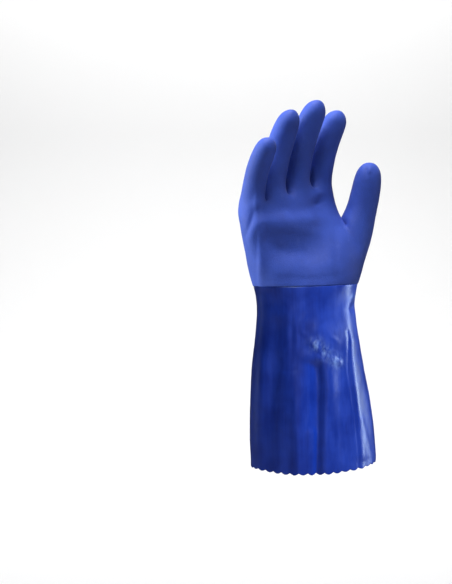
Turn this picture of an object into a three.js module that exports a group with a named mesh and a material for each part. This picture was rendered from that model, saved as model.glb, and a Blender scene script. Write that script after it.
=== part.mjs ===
// A PVC coated work glove for the right hand, hollow, in the relaxed shape that a hand gives it.
// Millimetres, +Z up the forearm to the fingers, palm towards -Y, thumb towards +X.
// The origin is the middle of the cuff's mouth, level with the lowest teeth of its pinked hem.
import * as THREE from "three";

// The gauntlet, which is smooth and glossy, with a pinked hem
const CUFF_LENGTH = 171.5;
const HEM_WIDTH = 118;
const HEM_DEPTH = 82;
const WRIST_WIDTH = 94;
const WRIST_DEPTH = 62;
const CUFF_WALL = 1.4;
const TOOTH_PITCH = 8.6;
const TOOTH_DEPTH = 1.8;
const HEM_MARGIN = 4;
const HEM_RISE = 8;
const DIP_RISE = 3;
// How far the hem rises at both edges, at the thumb's edge and at the back, as shares of HEM_RISE
const HEM_SHAPE = { edges: 0.75, thumb: 0.35, back: 0.3 };
// The power that shapes the sections of the cuff and the palm: at 1 they are ellipses
const BLUNTNESS = 0.95;

// The palm, from the edge of its coating to the root of the middle finger
const PALM_LENGTH = 91;
const PALM_WIDTH = 108;
const PALM_THICKNESS = 46;
const KNUCKLE_THICKNESS = 33;

// How far the hem, the wrist and the palm are turned about the glove's length, in degrees
const HEM_TURN = 6;
const WRIST_TURN = 14;
const PALM_TURN = 35;

// The matt coating, which stands out by a step and laps over the top of the gauntlet with a thin skirt
const COATING_WALL = 1.6;
const COATING_STEP = 0.5;
const SKIRT_WALL = 0.8;
const LAP_GAP = 0.3;

// Digits: length from the root to the tip, and the width and depth of the thickest section
const PINKY = { length: 68, width: 20.2, depth: 20 };
const RING = { length: 91.5, width: 23.6, depth: 22.6 };
const MIDDLE = { length: 96, width: 24.4, depth: 23 };
const INDEX = { length: 82.5, width: 24.4, depth: 23 };
const THUMB = { length: 96.5, width: 27.5, depth: 25 };

// Sections of the cuff, from the hem up. up is a share of CUFF_LENGTH, waist goes from the hem's size at 0
// to the wrist's at 1, and right moves the section by a share of HEM_WIDTH.
const CUFF_SECTIONS = [
  { up: 0, waist: 0, right: 0.002 },
  { up: 0.11, waist: 0.01, right: -0.006 },
  { up: 0.22, waist: 0.07, right: -0.013 },
  { up: 0.33, waist: 0.19, right: -0.023 },
  { up: 0.44, waist: 0.35, right: -0.035 },
  { up: 0.54, waist: 0.52, right: -0.044 },
  { up: 0.64, waist: 0.71, right: -0.05 },
  { up: 0.74, waist: 0.88, right: -0.053 },
  { up: 0.84, waist: 0.99, right: -0.055 },
  { up: 0.93, waist: 1, right: -0.058 },
  { up: 1, waist: 0.84, right: -0.063 },
];

// Sections of the palm, above the edge of the coating. up is a share of PALM_LENGTH, wide of PALM_WIDTH,
// thick of PALM_THICKNESS, right and front move the section by shares of PALM_WIDTH, turned goes from the
// wrist's turn at 0 to the palm's at 1, slope raises the thumb's side by a share of PALM_LENGTH, and full
// makes the thumb's side blunter where it is below 1.
const PALM_SECTIONS = [
  { up: 0.15, wide: 1.016, thick: 1.19, right: -0.07, front: 0, turned: 0.2, slope: 0, full: 0.85 },
  { up: 0.36, wide: 1.07, thick: 1.06, right: -0.088, front: 0.01, turned: 0.45, slope: 0.01, full: 0.6 },
  { up: 0.59, wide: 0.985, thick: 0.93, right: -0.186, front: 0.01, turned: 0.75, slope: 0.03, full: 0.5 },
  { up: 0.8, wide: 0.975, thick: 0.8, right: -0.218, front: 0, turned: 0.92, slope: 0.07, full: 0.8 },
];
const KNUCKLES = { right: -0.232, front: -0.02 };

// Crotches between the fingers, from the outer edge of the pinky to that of the index finger. across is a
// share of half of PALM_WIDTH, and up of PALM_LENGTH.
const CROTCHES = [
  { across: -0.97, up: 0.85 },
  { across: -0.6, up: 0.88 },
  { across: -0.08, up: 0.95 },
  { across: 0.46, up: 1.04 },
  { across: 1, up: 1 },
];
// thick is a share of KNUCKLE_THICKNESS, lower of PALM_LENGTH, and inset of half of PALM_WIDTH
const WEBS = { thick: 0.94, lowerInFront: 0.055, lowerAtBack: 0.075 };
const OUTER_EDGES = { thick: 0.68, inset: 0.9 };
const ROOTS = { thick: 1.02, lower: 0.03 };

// Rings of a digit. along is a share of its length, wide and deep of its width and depth, and tilt lowers the
// side away from the fingers, in degrees.
const FINGER_RINGS = [
  { along: 0.17, wide: 1, deep: 1.06, tilt: 0 },
  { along: 0.38, wide: 1, deep: 1, tilt: 0 },
  { along: 0.6, wide: 0.99, deep: 0.97, tilt: 0 },
  { along: 0.8, wide: 0.97, deep: 0.94, tilt: 0 },
  { along: 0.94, wide: 0.8, deep: 0.77, tilt: 0 },
];
const THUMB_RINGS = [
  { along: 0.3, wide: 1.34, deep: 1.12, tilt: 24 },
  { along: 0.41, wide: 1.17, deep: 1.08, tilt: 12 },
  { along: 0.52, wide: 1.05, deep: 1.03, tilt: 4 },
  { along: 0.64, wide: 1, deep: 1, tilt: 0 },
  { along: 0.79, wide: 0.97, deep: 0.96, tilt: 0 },
  { along: 0.9, wide: 0.88, deep: 0.86, tilt: 0 },
  { along: 0.97, wide: 0.66, deep: 0.63, tilt: 0 },
];
const FINGERTIP = { along: 1.06, spread: 0 };
const THUMB_TIP = { along: 1.01, spread: 0.9 };
// Points in a ring of a finger, the direction of the first point of a finger's and of the thumb's rings, from
// the thumb's side towards the palm's, and the angle between a corner of the tip's grid and its edges
const FINGER_SIDES = 8;
const FINGER_START = 135;
const THUMB_START = 60;
const TIP_CORNER = 135;

// How each digit bends. curl leans it towards the palm and lean towards the thumb's side, in degrees, at its
// root and at its tip, and turn is the way that its own palm side faces.
const FINGER_BENDS = [
  { size: PINKY, curl: [16, 50], lean: [-7, 5], turn: 34 },
  { size: RING, curl: [6, 39], lean: [0, 9.5], turn: 30 },
  { size: MIDDLE, curl: [5.5, 41], lean: [-1, 13], turn: 28 },
  { size: INDEX, curl: [3.5, 35], lean: [3, 18.5], turn: 26 },
];
const THUMB_BEND = { size: THUMB, curl: [2, 16], lean: [26, -2], turn: 12 };
const BEND_GROWTH = 1.3;
// Where the thumb's line starts inside the palm, as shares of PALM_WIDTH and PALM_LENGTH
const THUMB_ROOT = { right: 0.264, front: -0.15, up: 0.27 };

// Pads, hollows and folds of the palm's coating and of the gauntlet. Each follows a line from one place to
// another: right is a share of the part's width from the origin and up a share of its length, reach is how
// far it spreads from the line, as a share of the width, and out is its height as a share of the thickness.
// side is 1 on the palm's side and -1 at the back, and towards the glove's edges the relief fades out.
const PALM_RELIEF = {
  thenarPad: { side: 1, right: [0.24, 0.3], up: [0.2, 0.5], reach: 0.17, out: 0.09 },
  outerPad: { side: 1, right: [-0.45, -0.52], up: [0.15, 0.55], reach: 0.12, out: 0.04 },
  heel: { side: 1, right: [-0.3, 0.1], up: [0.16, 0.22], reach: 0.12, out: 0.035 },
  hollow: { side: 1, right: [-0.34, -0.08], up: [0.5, 0.46], reach: 0.14, out: -0.09 },
  fingerPads: { side: 1, right: [-0.45, -0.05], up: [0.68, 0.72], reach: 0.09, out: 0.05 },
  indexDimple: { side: 1, right: [0.03, 0.07], up: [0.85, 0.88], reach: 0.06, out: -0.035 },
  pinkyKnuckle: { side: -1, right: [-0.6, -0.58], up: [0.74, 0.76], reach: 0.08, out: 0.03 },
  ringKnuckle: { side: -1, right: [-0.4, -0.38], up: [0.8, 0.83], reach: 0.09, out: 0.035 },
  middleKnuckle: { side: -1, right: [-0.16, -0.14], up: [0.85, 0.88], reach: 0.09, out: 0.04 },
  indexKnuckle: { side: -1, right: [0.1, 0.12], up: [0.88, 0.9], reach: 0.09, out: 0.035 },
  backHollow: { side: -1, right: [-0.2, 0.1], up: [0.45, 0.4], reach: 0.14, out: -0.03 },
};
const CUFF_RELIEF = {
  leftWave: { side: 1, right: [-0.27, -0.3], up: [0.62, 0.04], reach: 0.075, out: -0.045 },
  leftRidge: { side: 1, right: [-0.13, -0.13], up: [0.5, 0], reach: 0.06, out: 0.035 },
  middleFold: { side: 1, right: [0.085, 0.08], up: [0.56, 0], reach: 0.055, out: -0.06 },
  middleRidge: { side: 1, right: [0.01, 0.0], up: [0.2, 0], reach: 0.04, out: 0.03 },
  foldsShoulder: { side: 1, right: [0.07, 0.16], up: [0.68, 0.42], reach: 0.06, out: 0.035 },
  rightRidge: { side: 1, right: [0.3, 0.36], up: [0.7, 0.1], reach: 0.06, out: 0.03 },
  wristPinch: { side: 1, right: [0.35, 0.22], up: [0.97, 0.88], reach: 0.05, out: -0.035 },
  wristBulge: { side: 1, right: [0.02, 0.16], up: [0.76, 0.7], reach: 0.08, out: 0.03 },
  backFold: { side: -1, right: [0.05, 0.12], up: [0.6, 0], reach: 0.07, out: -0.05 },
  backRidge: { side: -1, right: [-0.12, -0.16], up: [0.55, 0], reach: 0.07, out: 0.035 },
  backWave: { side: -1, right: [-0.3, -0.34], up: [0.7, 0.1], reach: 0.06, out: -0.03 },
  backPinch: { side: -1, right: [0.25, 0.05], up: [0.84, 0.72], reach: 0.06, out: -0.035 },
};

const RELIEF_FADE = 0.7;

// Columns of the cage, each an edge loop up the glove, from the outer edge across the palm and back
const COLUMNS = 4 * CROTCHES.length;
const THUMB_COLUMN = COLUMNS / 2;
const THUMB_REACH = 2;
const BEND_STEPS = 60;
const TOOTH_STEPS = 4;

const radians = THREE.MathUtils.degToRad;
const mix = THREE.MathUtils.lerp;
const UP = new THREE.Vector3(0, 0, 1);

// Sideways and palmar directions of a section that is turned about +Z
const across = (turn) => new THREE.Vector3(Math.cos(radians(turn)), Math.sin(radians(turn)), 0);
const palmar = (turn) => new THREE.Vector3(Math.sin(radians(turn)), -Math.cos(radians(turn)), 0);

// Smoothing draws a closed ring of points in to this share of its size
const settles = (count) => (2 + Math.cos((2 * Math.PI) / count)) / 3;

// One ring round the cuff or the palm: a flattened ellipse, with its thumb's side blunter where full is
// below 1
function sectionRing({ centre, width, depth, turn, full, rise }) {
  const blunt = (c, power) => (Math.sign(c) * Math.abs(c) ** power) / settles(COLUMNS);
  return Array.from({ length: COLUMNS }, (_, i) => {
    const angle = Math.PI - (i * 2 * Math.PI) / COLUMNS;
    const [side, front] = [Math.cos(angle), Math.sin(angle)];
    return centre
      .clone()
      .addScaledVector(across(turn), (blunt(side, BLUNTNESS) * width) / 2)
      .addScaledVector(palmar(turn), (blunt(front, side > 0 ? full : BLUNTNESS) * depth) / 2)
      .addScaledVector(UP, rise(side, front));
  });
}

// The edge of the hand's coating rises towards the thumb's side
const dip = (side) => (side + side ** 2) / 2;

function cuffRings() {
  const base = HEM_MARGIN + TOOTH_DEPTH;
  return CUFF_SECTIONS.map(({ up, waist, right }) => {
    const hem = (side, front) =>
      HEM_SHAPE.edges * side ** 2 + HEM_SHAPE.thumb * side - HEM_SHAPE.back * Math.min(front, 0);
    return sectionRing({
      centre: new THREE.Vector3(right * HEM_WIDTH, 0, mix(base, CUFF_LENGTH, up)),
      width: mix(HEM_WIDTH, WRIST_WIDTH, waist),
      depth: mix(HEM_DEPTH, WRIST_DEPTH, waist),
      turn: mix(HEM_TURN, WRIST_TURN, up),
      full: BLUNTNESS,
      rise: (side, front) => (1 - up) * HEM_RISE * hem(side, front) + up * DIP_RISE * dip(side),
    });
  });
}

function palmRings() {
  return PALM_SECTIONS.map(({ up, wide, thick, right, front, turned, slope, full }) =>
    sectionRing({
      centre: new THREE.Vector3(right * PALM_WIDTH, -front * PALM_WIDTH, CUFF_LENGTH + up * PALM_LENGTH),
      width: wide * PALM_WIDTH,
      depth: thick * PALM_THICKNESS,
      turn: mix(WRIST_TURN, PALM_TURN, turned),
      full,
      rise: (side) => (1 - turned) * DIP_RISE * dip(side) + slope * PALM_LENGTH * side,
    }),
  );
}

// The points that the fingers stand on: a web between each two fingers, in front, middle and back, and a
// point at the root of each finger in front and at the back
function knuckles() {
  const middle = new THREE.Vector3(KNUCKLES.right * PALM_WIDTH, -KNUCKLES.front * PALM_WIDTH, CUFF_LENGTH);
  const at = (share, up, front) =>
    middle
      .clone()
      .addScaledVector(across(PALM_TURN), (share * PALM_WIDTH) / 2)
      .addScaledVector(palmar(PALM_TURN), (front * KNUCKLE_THICKNESS) / 2)
      .addScaledVector(UP, up * PALM_LENGTH);
  const isEdge = (i) => i % (CROTCHES.length - 1) === 0;
  const web = (front, down) =>
    CROTCHES.map((c, i) =>
      isEdge(i)
        ? at(c.across * OUTER_EDGES.inset, c.up, front * OUTER_EDGES.thick)
        : at(c.across, c.up - down, front * WEBS.thick),
    );
  const root = (front) =>
    CROTCHES.slice(1).map((c, i) =>
      at((CROTCHES[i].across + c.across) / 2, (CROTCHES[i].up + c.up) / 2 - ROOTS.lower, front),
    );
  return {
    webFront: web(1, WEBS.lowerInFront),
    webMiddle: CROTCHES.map((c) => at(c.across, c.up, 0)),
    webBack: web(-1, WEBS.lowerAtBack),
    front: root(ROOTS.thick),
    back: root(-ROOTS.thick),
  };
}

// Points and directions along a digit, which bends from its root to its tip. reach is the line's length as a
// share of the digit's.
function digitLine(root, { size, curl, lean, turn }, reach) {
  const side = across(turn);
  const palm = palmar(turn);
  const point = root.clone();
  const line = [];
  for (let i = 0; i <= Math.ceil(reach * BEND_STEPS); i += 1) {
    const share = Math.min(i / BEND_STEPS, 1) ** BEND_GROWTH;
    const bent = radians(mix(curl[0], curl[1], share));
    const leant = radians(mix(lean[0], lean[1], share));
    const ahead = UP.clone()
      .multiplyScalar(Math.cos(bent) * Math.cos(leant))
      .addScaledVector(side, Math.sin(leant))
      .addScaledVector(palm, Math.sin(bent) * Math.cos(leant));
    const sideways = side.clone().addScaledVector(ahead, -side.dot(ahead)).normalize();
    const front = sideways.clone().cross(ahead).normalize();
    line.push({ point: point.clone(), ahead, sideways, front });
    point.addScaledVector(ahead, size.length / BEND_STEPS);
  }
  return line;
}

// Rings of count points along a digit, from the given angle on, and the inner points of its tip
function digitRings({ root, bend, rings, tip, count, angle }) {
  const line = digitLine(root, bend, tip.along);
  const { width, depth } = bend.size;
  const place = (along, tilt, side, front) => {
    const here = line[Math.round(along * BEND_STEPS)];
    return here.point
      .clone()
      .addScaledVector(here.sideways, (Math.cos(radians(tilt)) * side * width) / 2)
      .addScaledVector(here.ahead, (-Math.sin(radians(tilt)) * side * width) / 2)
      .addScaledVector(here.front, (front * depth) / 2);
  };
  const around = rings.map(({ along, wide, deep, tilt }) =>
    Array.from({ length: count }, (_, i) => {
      const turn = radians(angle - (i * 360) / count);
      const side = (Math.cos(turn) * wide) / settles(count);
      const front = (Math.sin(turn) * deep) / settles(count);
      return place(along, tilt, side, front);
    }),
  );
  const steps = count / 4;
  const inner = [];
  for (let row = 1; row < steps; row += 1) {
    for (let column = 1; column < steps; column += 1) {
      const u = ((2 * column) / steps - 1) * tip.spread;
      const v = ((2 * row) / steps - 1) * tip.spread;
      const [a, b] = [radians(angle - TIP_CORNER), radians(angle + TIP_CORNER)];
      inner.push(place(tip.along, 0, u * Math.cos(a) + v * Math.cos(b), u * Math.sin(a) + v * Math.sin(b)));
    }
  }
  return { rings: around, inner };
}

// A cage of four-sided faces: points, and faces that name the part they belong to
class Cage {
  constructor() {
    this.points = [];
    this.faces = [];
  }

  add(points, isLeftOut = () => false) {
    return points.map((p, i) => (isLeftOut(i) ? -1 : this.points.push(p) - 1));
  }

  face(part, ...corners) {
    this.faces.push({ part, corners });
  }

  band(part, lower, upper, isOpen = () => false) {
    lower.forEach((_, i) => {
      const next = (i + 1) % lower.length;
      if (!isOpen(i)) this.face(part, lower[i], lower[next], upper[next], upper[i]);
    });
  }

  // Closes a ring with a square grid of faces
  cap(part, ring, inner) {
    const steps = ring.length / 4;
    const at = (row, column) => {
      if (row === 0) return ring[column];
      if (column === steps) return ring[steps + row];
      if (row === steps) return ring[3 * steps - column];
      if (column === 0) return ring[4 * steps - row];
      return inner[(row - 1) * (steps - 1) + column - 1];
    };
    for (let row = 0; row < steps; row += 1) {
      for (let column = 0; column < steps; column += 1) {
        this.face(part, at(row, column), at(row, column + 1), at(row + 1, column + 1), at(row + 1, column));
      }
    }
  }

  digit(part, root, { rings, inner }) {
    let lower = root;
    rings.forEach((ring) => {
      const upper = this.add(ring);
      this.band(part, lower, upper);
      lower = upper;
    });
    this.cap(part, lower, this.add(inner));
  }
}

function gloveCage() {
  const cage = new Cage();
  const cuff = cuffRings().map((ring) => cage.add(ring));
  cuff.slice(1).forEach((ring, i) => cage.band("cuff", cuff[i], ring));

  // The thumb opens from the first three rings of the palm
  const inThumb = (i) => Math.abs(i - THUMB_COLUMN) < THUMB_REACH;
  const underThumb = (i) => i >= THUMB_COLUMN - THUMB_REACH && i < THUMB_COLUMN + THUMB_REACH;
  const rows = palmRings().map((ring, row) => cage.add(ring, (i) => row === 1 && inThumb(i)));
  cage.band("hand", cuff.at(-1), rows[0]);
  rows.slice(1).forEach((ring, i) => cage.band("hand", rows[i], ring, (k) => i < 2 && underThumb(k)));

  const points = knuckles();
  const webFront = cage.add(points.webFront);
  const webMiddle = cage.add(points.webMiddle);
  const webBack = cage.add(points.webBack);
  const front = cage.add(points.front);
  const back = cage.add(points.back);
  const last = CROTCHES.length - 1;
  const loop = [
    webMiddle[0],
    ...front.flatMap((root, i) => [webFront[i], root]),
    webFront[last],
    webMiddle[last],
    webBack[last],
    ...back.flatMap((root, i) => [webBack[i], root]).reverse(),
  ];
  cage.band("hand", rows.at(-1), loop);

  FINGER_BENDS.forEach((bend, i) => {
    const corners = [webFront[i], webFront[i + 1], webBack[i], webBack[i + 1]];
    const root = corners.reduce((sum, p) => sum.add(cage.points[p]), new THREE.Vector3()).divideScalar(4);
    const base = [webFront[i], front[i], webFront[i + 1], webMiddle[i + 1]];
    base.push(webBack[i + 1], back[i], webBack[i], webMiddle[i]);
    const shape = { root, bend, rings: FINGER_RINGS, tip: FINGERTIP };
    cage.digit("hand", base, digitRings({ ...shape, count: FINGER_SIDES, angle: FINGER_START }));
  });

  const [from, to] = [THUMB_COLUMN - THUMB_REACH, THUMB_COLUMN + THUMB_REACH];
  const [low, middle, high] = rows;
  const base = [...low.slice(from, to + 1), middle[to], ...high.slice(from, to + 1).reverse(), middle[from]];
  const root = new THREE.Vector3(
    THUMB_ROOT.right * PALM_WIDTH,
    -THUMB_ROOT.front * PALM_WIDTH,
    CUFF_LENGTH + THUMB_ROOT.up * PALM_LENGTH,
  );
  const shape = { root, bend: THUMB_BEND, rings: THUMB_RINGS, tip: THUMB_TIP };
  cage.digit("hand", base, digitRings({ ...shape, count: base.length, angle: THUMB_START }));
  return cage;
}

// One step of Catmull-Clark smoothing
function smooth(cage) {
  const made = new Cage();
  const edges = new Map();
  const around = cage.points.map(() => ({ faces: [], edges: [] }));
  const centres = cage.faces.map(({ corners }) => {
    const sum = corners.reduce((s, i) => s.add(cage.points[i]), new THREE.Vector3());
    return sum.divideScalar(corners.length);
  });
  cage.faces.forEach(({ corners }, f) =>
    corners.forEach((from, k) => {
      const to = corners[(k + 1) % corners.length];
      const key = from < to ? `${from} ${to}` : `${to} ${from}`;
      if (!edges.has(key)) {
        edges.set(key, { ends: [from, to], faces: [] });
        around[from].edges.push(edges.get(key));
        around[to].edges.push(edges.get(key));
      }
      edges.get(key).faces.push(f);
      around[from].faces.push(f);
    }),
  );
  const middleOf = ({ ends }) => cage.points[ends[0]].clone().lerp(cage.points[ends[1]], 0.5);
  const corner = made.add(
    cage.points.map((p, i) => {
      const rim = around[i].edges.filter((e) => e.faces.length === 1);
      if (rim.length) {
        const sum = rim.reduce((s, e) => s.add(middleOf(e)), new THREE.Vector3());
        return p.clone().multiplyScalar(0.5).addScaledVector(sum, 0.25);
      }
      const n = around[i].faces.length;
      const faces = around[i].faces.reduce((s, f) => s.add(centres[f]), new THREE.Vector3());
      const middles = around[i].edges.reduce((s, e) => s.add(middleOf(e)), new THREE.Vector3());
      return p
        .clone()
        .multiplyScalar((n - 3) / n)
        .addScaledVector(faces, 1 / n ** 2)
        .addScaledVector(middles, 2 / n ** 2);
    }),
  );
  const centre = made.add(centres);
  const middle = new Map(
    [...edges].map(([key, e]) => {
      const p = middleOf(e);
      if (e.faces.length === 2) {
        p.lerp(centres[e.faces[0]].clone().lerp(centres[e.faces[1]], 0.5), 0.5);
      }
      return [key, made.add([p])[0]];
    }),
  );
  const onEdge = (i, j) => middle.get(i < j ? `${i} ${j}` : `${j} ${i}`);
  cage.faces.forEach(({ part, corners }, f) =>
    corners.forEach((from, k) => {
      const to = corners[(k + 1) % 4];
      const before = corners[(k + 3) % 4];
      made.face(part, corner[from], onEdge(from, to), centre[f], onEdge(before, from));
    }),
  );
  return made;
}

// How far the surface stands out at a point, from the rows of one table
function reliefOf(rows, { point, normal, base, width, length, thickness, turn }) {
  return Object.values(rows).reduce((sum, { side, right, up, reach, out }) => {
    const start = new THREE.Vector2(right[0] * width, base + up[0] * length);
    const run = new THREE.Vector2(right[1] * width, base + up[1] * length).sub(start);
    const here = new THREE.Vector2(point.x, point.z).sub(start);
    const share = THREE.MathUtils.clamp(here.dot(run) / run.lengthSq(), 0, 1);
    const away = here.addScaledVector(run, -share).length() / (reach * width);
    const faces = THREE.MathUtils.smoothstep(side * normal.dot(palmar(turn)), 0, RELIEF_FADE);
    return sum + out * thickness * faces * Math.exp(-(away ** 2));
  }, 0);
}

function vertexNormals({ points, faces }) {
  const normals = points.map(() => new THREE.Vector3());
  faces.forEach(({ corners: [a, b, c, d] }) => {
    const diagonal = points[c].clone().sub(points[a]);
    const normal = diagonal.cross(points[d].clone().sub(points[b]));
    [a, b, c, d].forEach((i) => normals[i].add(normal));
  });
  return normals.map((n) => n.normalize());
}

// The outer surface of the glove, with its relief
function gloveSurface() {
  const { points, faces } = smooth(gloveCage());
  const normals = vertexNormals({ points, faces });
  const palm = { base: CUFF_LENGTH, width: PALM_WIDTH, length: PALM_LENGTH };
  Object.assign(palm, { thickness: PALM_THICKNESS, turn: PALM_TURN });
  const cuff = { base: 0, width: HEM_WIDTH, length: CUFF_LENGTH, thickness: WRIST_DEPTH, turn: WRIST_TURN };
  const raised = points.map((point, i) => {
    const here = { point, normal: normals[i] };
    const out = reliefOf(PALM_RELIEF, { ...palm, ...here }) + reliefOf(CUFF_RELIEF, { ...cuff, ...here });
    return point.clone().addScaledVector(normals[i], out);
  });
  return { points: raised, faces, normals: vertexNormals({ points: raised, faces }) };
}

// Edges that belong to only one of the given faces, with the direction that their face gives them
function rimEdges(faces) {
  const directed = new Map();
  faces.forEach(({ corners }) =>
    corners.forEach((from, k) => {
      const to = corners[(k + 1) % 4];
      directed.set(`${from} ${to}`, [from, to]);
    }),
  );
  return [...directed.values()].filter(([from, to]) => !directed.has(`${to} ${from}`));
}

// A closed wall made of sheets at set heights over the glove's surface. slide moves a point up the glove.
class Wall {
  constructor(surface, slide) {
    this.surface = surface;
    this.slide = slide;
    this.points = [];
    this.triangles = [];
    this.made = new Map();
  }

  place(i, height) {
    const { points, normals } = this.surface;
    return points[i].clone().addScaledVector(normals[i], height).addScaledVector(UP, this.slide(i));
  }

  at(i, height) {
    const key = `${i} ${height}`;
    if (!this.made.has(key)) this.made.set(key, this.points.push(this.place(i, height)) - 1);
    return this.made.get(key);
  }

  quad(a, b, c, d) {
    this.triangles.push(a, b, c, a, c, d);
  }

  outside(faces, height) {
    faces.forEach(({ corners }) => this.quad(...corners.map((i) => this.at(i, height))));
  }

  // The inside's faces are split along the same diagonal as the outside's, so that sheets don't cross
  inside(faces, height) {
    faces.forEach(({ corners }) => {
      const [a, b, c, d] = corners.map((i) => this.at(i, height));
      this.quad(c, b, a, d);
    });
  }

  // Joins the rim of a sheet to the same rim at another height
  rim(edges, height, other) {
    edges.forEach(([a, b]) =>
      this.quad(this.at(b, height), this.at(a, height), this.at(a, other), this.at(b, other)),
    );
  }

  mesh(name, finish) {
    const geometry = new THREE.BufferGeometry().setFromPoints(this.points);
    geometry.setIndex(this.triangles);
    geometry.computeVertexNormals();
    const mesh = new THREE.Mesh(geometry, new THREE.MeshStandardMaterial(finish));
    mesh.name = name;
    return mesh;
  }
}

// Follows edges head to tail round a closed loop
function loopOf(edges) {
  const next = new Map(edges);
  const loop = [edges[0][0]];
  while (next.get(loop.at(-1)) !== loop[0]) loop.push(next.get(loop.at(-1)));
  return loop;
}

// Hangs a margin with rounded teeth from the cuff's lower rim, on the outer side and the inner side
function pinkHem(wall, edges) {
  const loop = loopOf(edges);
  const outer = loop.map((i) => wall.place(i, 0));
  const lengths = outer.map((p, k) => p.distanceTo(outer[(k + 1) % outer.length]));
  const girth = lengths.reduce((sum, l) => sum + l, 0);
  const starts = lengths.map((_, k) => lengths.slice(0, k).reduce((sum, l) => sum + l, 0) / girth);
  const count = Math.round(girth / TOOTH_PITCH) * TOOTH_STEPS;
  const toothPoint = (side, j) => {
    const share = j / count;
    const k = starts.findLastIndex((start) => start <= share);
    const part = ((share - starts[k]) * girth) / lengths[k];
    const drop = HEM_MARGIN + TOOTH_DEPTH * Math.abs(Math.sin((Math.PI * j) / TOOTH_STEPS));
    return side[k].clone().lerp(side[(k + 1) % side.length], part).addScaledVector(UP, -drop);
  };
  const teethOf = (side) =>
    Array.from({ length: count }, (_, j) => wall.points.push(toothPoint(side, j)) - 1);
  const teeth = { outer: teethOf(outer), inner: teethOf(loop.map((i) => wall.place(i, -CUFF_WALL))) };
  const strip = (height, row, add) => {
    let [k, j] = [0, 0];
    while (k < loop.length || j < count) {
      const rimPoint = wall.at(loop[k % loop.length], height);
      const tooth = row[j % count];
      const nextStart = k + 1 < loop.length ? starts[k + 1] : 1;
      if (j < count && (k === loop.length || (j + 1) / count <= nextStart)) {
        j += 1;
        add(rimPoint, tooth, row[j % count]);
      } else {
        k += 1;
        add(wall.at(loop[k % loop.length], height), rimPoint, tooth);
      }
    }
  };
  strip(0, teeth.outer, (a, b, c) => wall.triangles.push(a, b, c));
  strip(-CUFF_WALL, teeth.inner, (a, b, c) => wall.triangles.push(c, b, a));
  teeth.outer.forEach((tooth, j) => {
    const next = (j + 1) % count;
    wall.quad(teeth.outer[next], tooth, teeth.inner[j], teeth.inner[next]);
  });
}

const surface = gloveSurface();
const cuffFaces = surface.faces.filter(({ part }) => part === "cuff");
const handFaces = surface.faces.filter(({ part }) => part === "hand");
const dipEdges = rimEdges(handFaces);
const dipLine = new Set(dipEdges.flat());
// The lap is the first row of the hand's faces: the gauntlet's top runs up behind it as a thinner tongue
const lapFaces = handFaces.filter(({ corners }) => corners.some((i) => dipLine.has(i)));
const bareFaces = handFaces.filter(({ corners }) => !corners.some((i) => dipLine.has(i)));
const lapTop = new Set(rimEdges(bareFaces).flat());
const skirtInside = COATING_STEP - SKIRT_WALL;
const tongueOutside = skirtInside - LAP_GAP;

function gauntlet() {
  const wall = new Wall(surface, (i) => (lapTop.has(i) ? -LAP_GAP : 0));
  const cuffEdges = rimEdges(cuffFaces);
  wall.outside(cuffFaces, 0);
  wall.rim(cuffEdges.filter(([i]) => dipLine.has(i)), 0, tongueOutside);
  wall.outside(lapFaces, tongueOutside);
  wall.rim(rimEdges(lapFaces).filter(([i]) => lapTop.has(i)), tongueOutside, -CUFF_WALL);
  wall.inside([...cuffFaces, ...lapFaces], -CUFF_WALL);
  pinkHem(wall, cuffEdges.filter(([i]) => !dipLine.has(i)));
  return wall.mesh("gauntlet", { color: 0x1a2fa8, roughness: 0.25, metalness: 0 });
}

function handCoating() {
  const wall = new Wall(surface, (i) => (dipLine.has(i) ? LAP_GAP : 0));
  wall.outside(handFaces, COATING_STEP);
  wall.rim(dipEdges, COATING_STEP, skirtInside);
  wall.inside(lapFaces, skirtInside);
  wall.rim(rimEdges(bareFaces), skirtInside, COATING_STEP - COATING_WALL);
  wall.inside(bareFaces, COATING_STEP - COATING_WALL);
  return wall.mesh("hand_coating", { color: 0x2f4fc4, roughness: 0.8, metalness: 0 });
}

const group = new THREE.Group();
group.add(gauntlet());
group.add(handCoating());
export default group;
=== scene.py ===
"""Looks of a PVC coated work glove for the right hand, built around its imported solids.

Everything is in the frame's own axes: +Z runs up the forearm to the fingertips, the palm faces -Y and
the thumb is towards +X. Shapes are worked out in millimetres and become metres when a mesh is made. A
cage of rings is smoothed into one surface, folds are raised on it, and the two coats are closed walls
laid over its parts.
"""

import logging
import math
from dataclasses import dataclass
from enum import Enum
from typing import Callable, Iterable, Iterator

import bpy
import numpy as np
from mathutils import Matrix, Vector


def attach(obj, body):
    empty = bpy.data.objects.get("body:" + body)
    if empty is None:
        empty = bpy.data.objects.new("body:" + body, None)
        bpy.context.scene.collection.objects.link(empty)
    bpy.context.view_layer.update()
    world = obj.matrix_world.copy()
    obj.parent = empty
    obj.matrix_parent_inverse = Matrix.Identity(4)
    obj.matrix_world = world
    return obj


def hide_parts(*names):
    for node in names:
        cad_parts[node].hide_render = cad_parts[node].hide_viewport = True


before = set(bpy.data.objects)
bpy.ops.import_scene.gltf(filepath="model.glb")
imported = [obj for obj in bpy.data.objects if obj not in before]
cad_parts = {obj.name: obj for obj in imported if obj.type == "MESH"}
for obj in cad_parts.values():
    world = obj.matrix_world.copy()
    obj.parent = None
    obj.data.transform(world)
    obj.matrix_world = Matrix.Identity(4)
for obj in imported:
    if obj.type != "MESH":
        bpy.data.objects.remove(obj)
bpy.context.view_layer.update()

LOG = logging.getLogger("glove")
MM = 0.001
UP = np.array([0.0, 0.0, 1.0])

Height = float | np.ndarray
Value = float | bpy.types.NodeSocket
Colour = tuple[float, float, float, float]


class Part(Enum):
    """The two coats that a face of the glove's surface can belong to."""

    CUFF = 0
    HAND = 1


class Target(Enum):
    """What a light of the studio falls on."""

    HAND = "lit_hand"
    CUFF = "lit_cuff"
    BACKDROP = "lit_backdrop"


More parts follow.
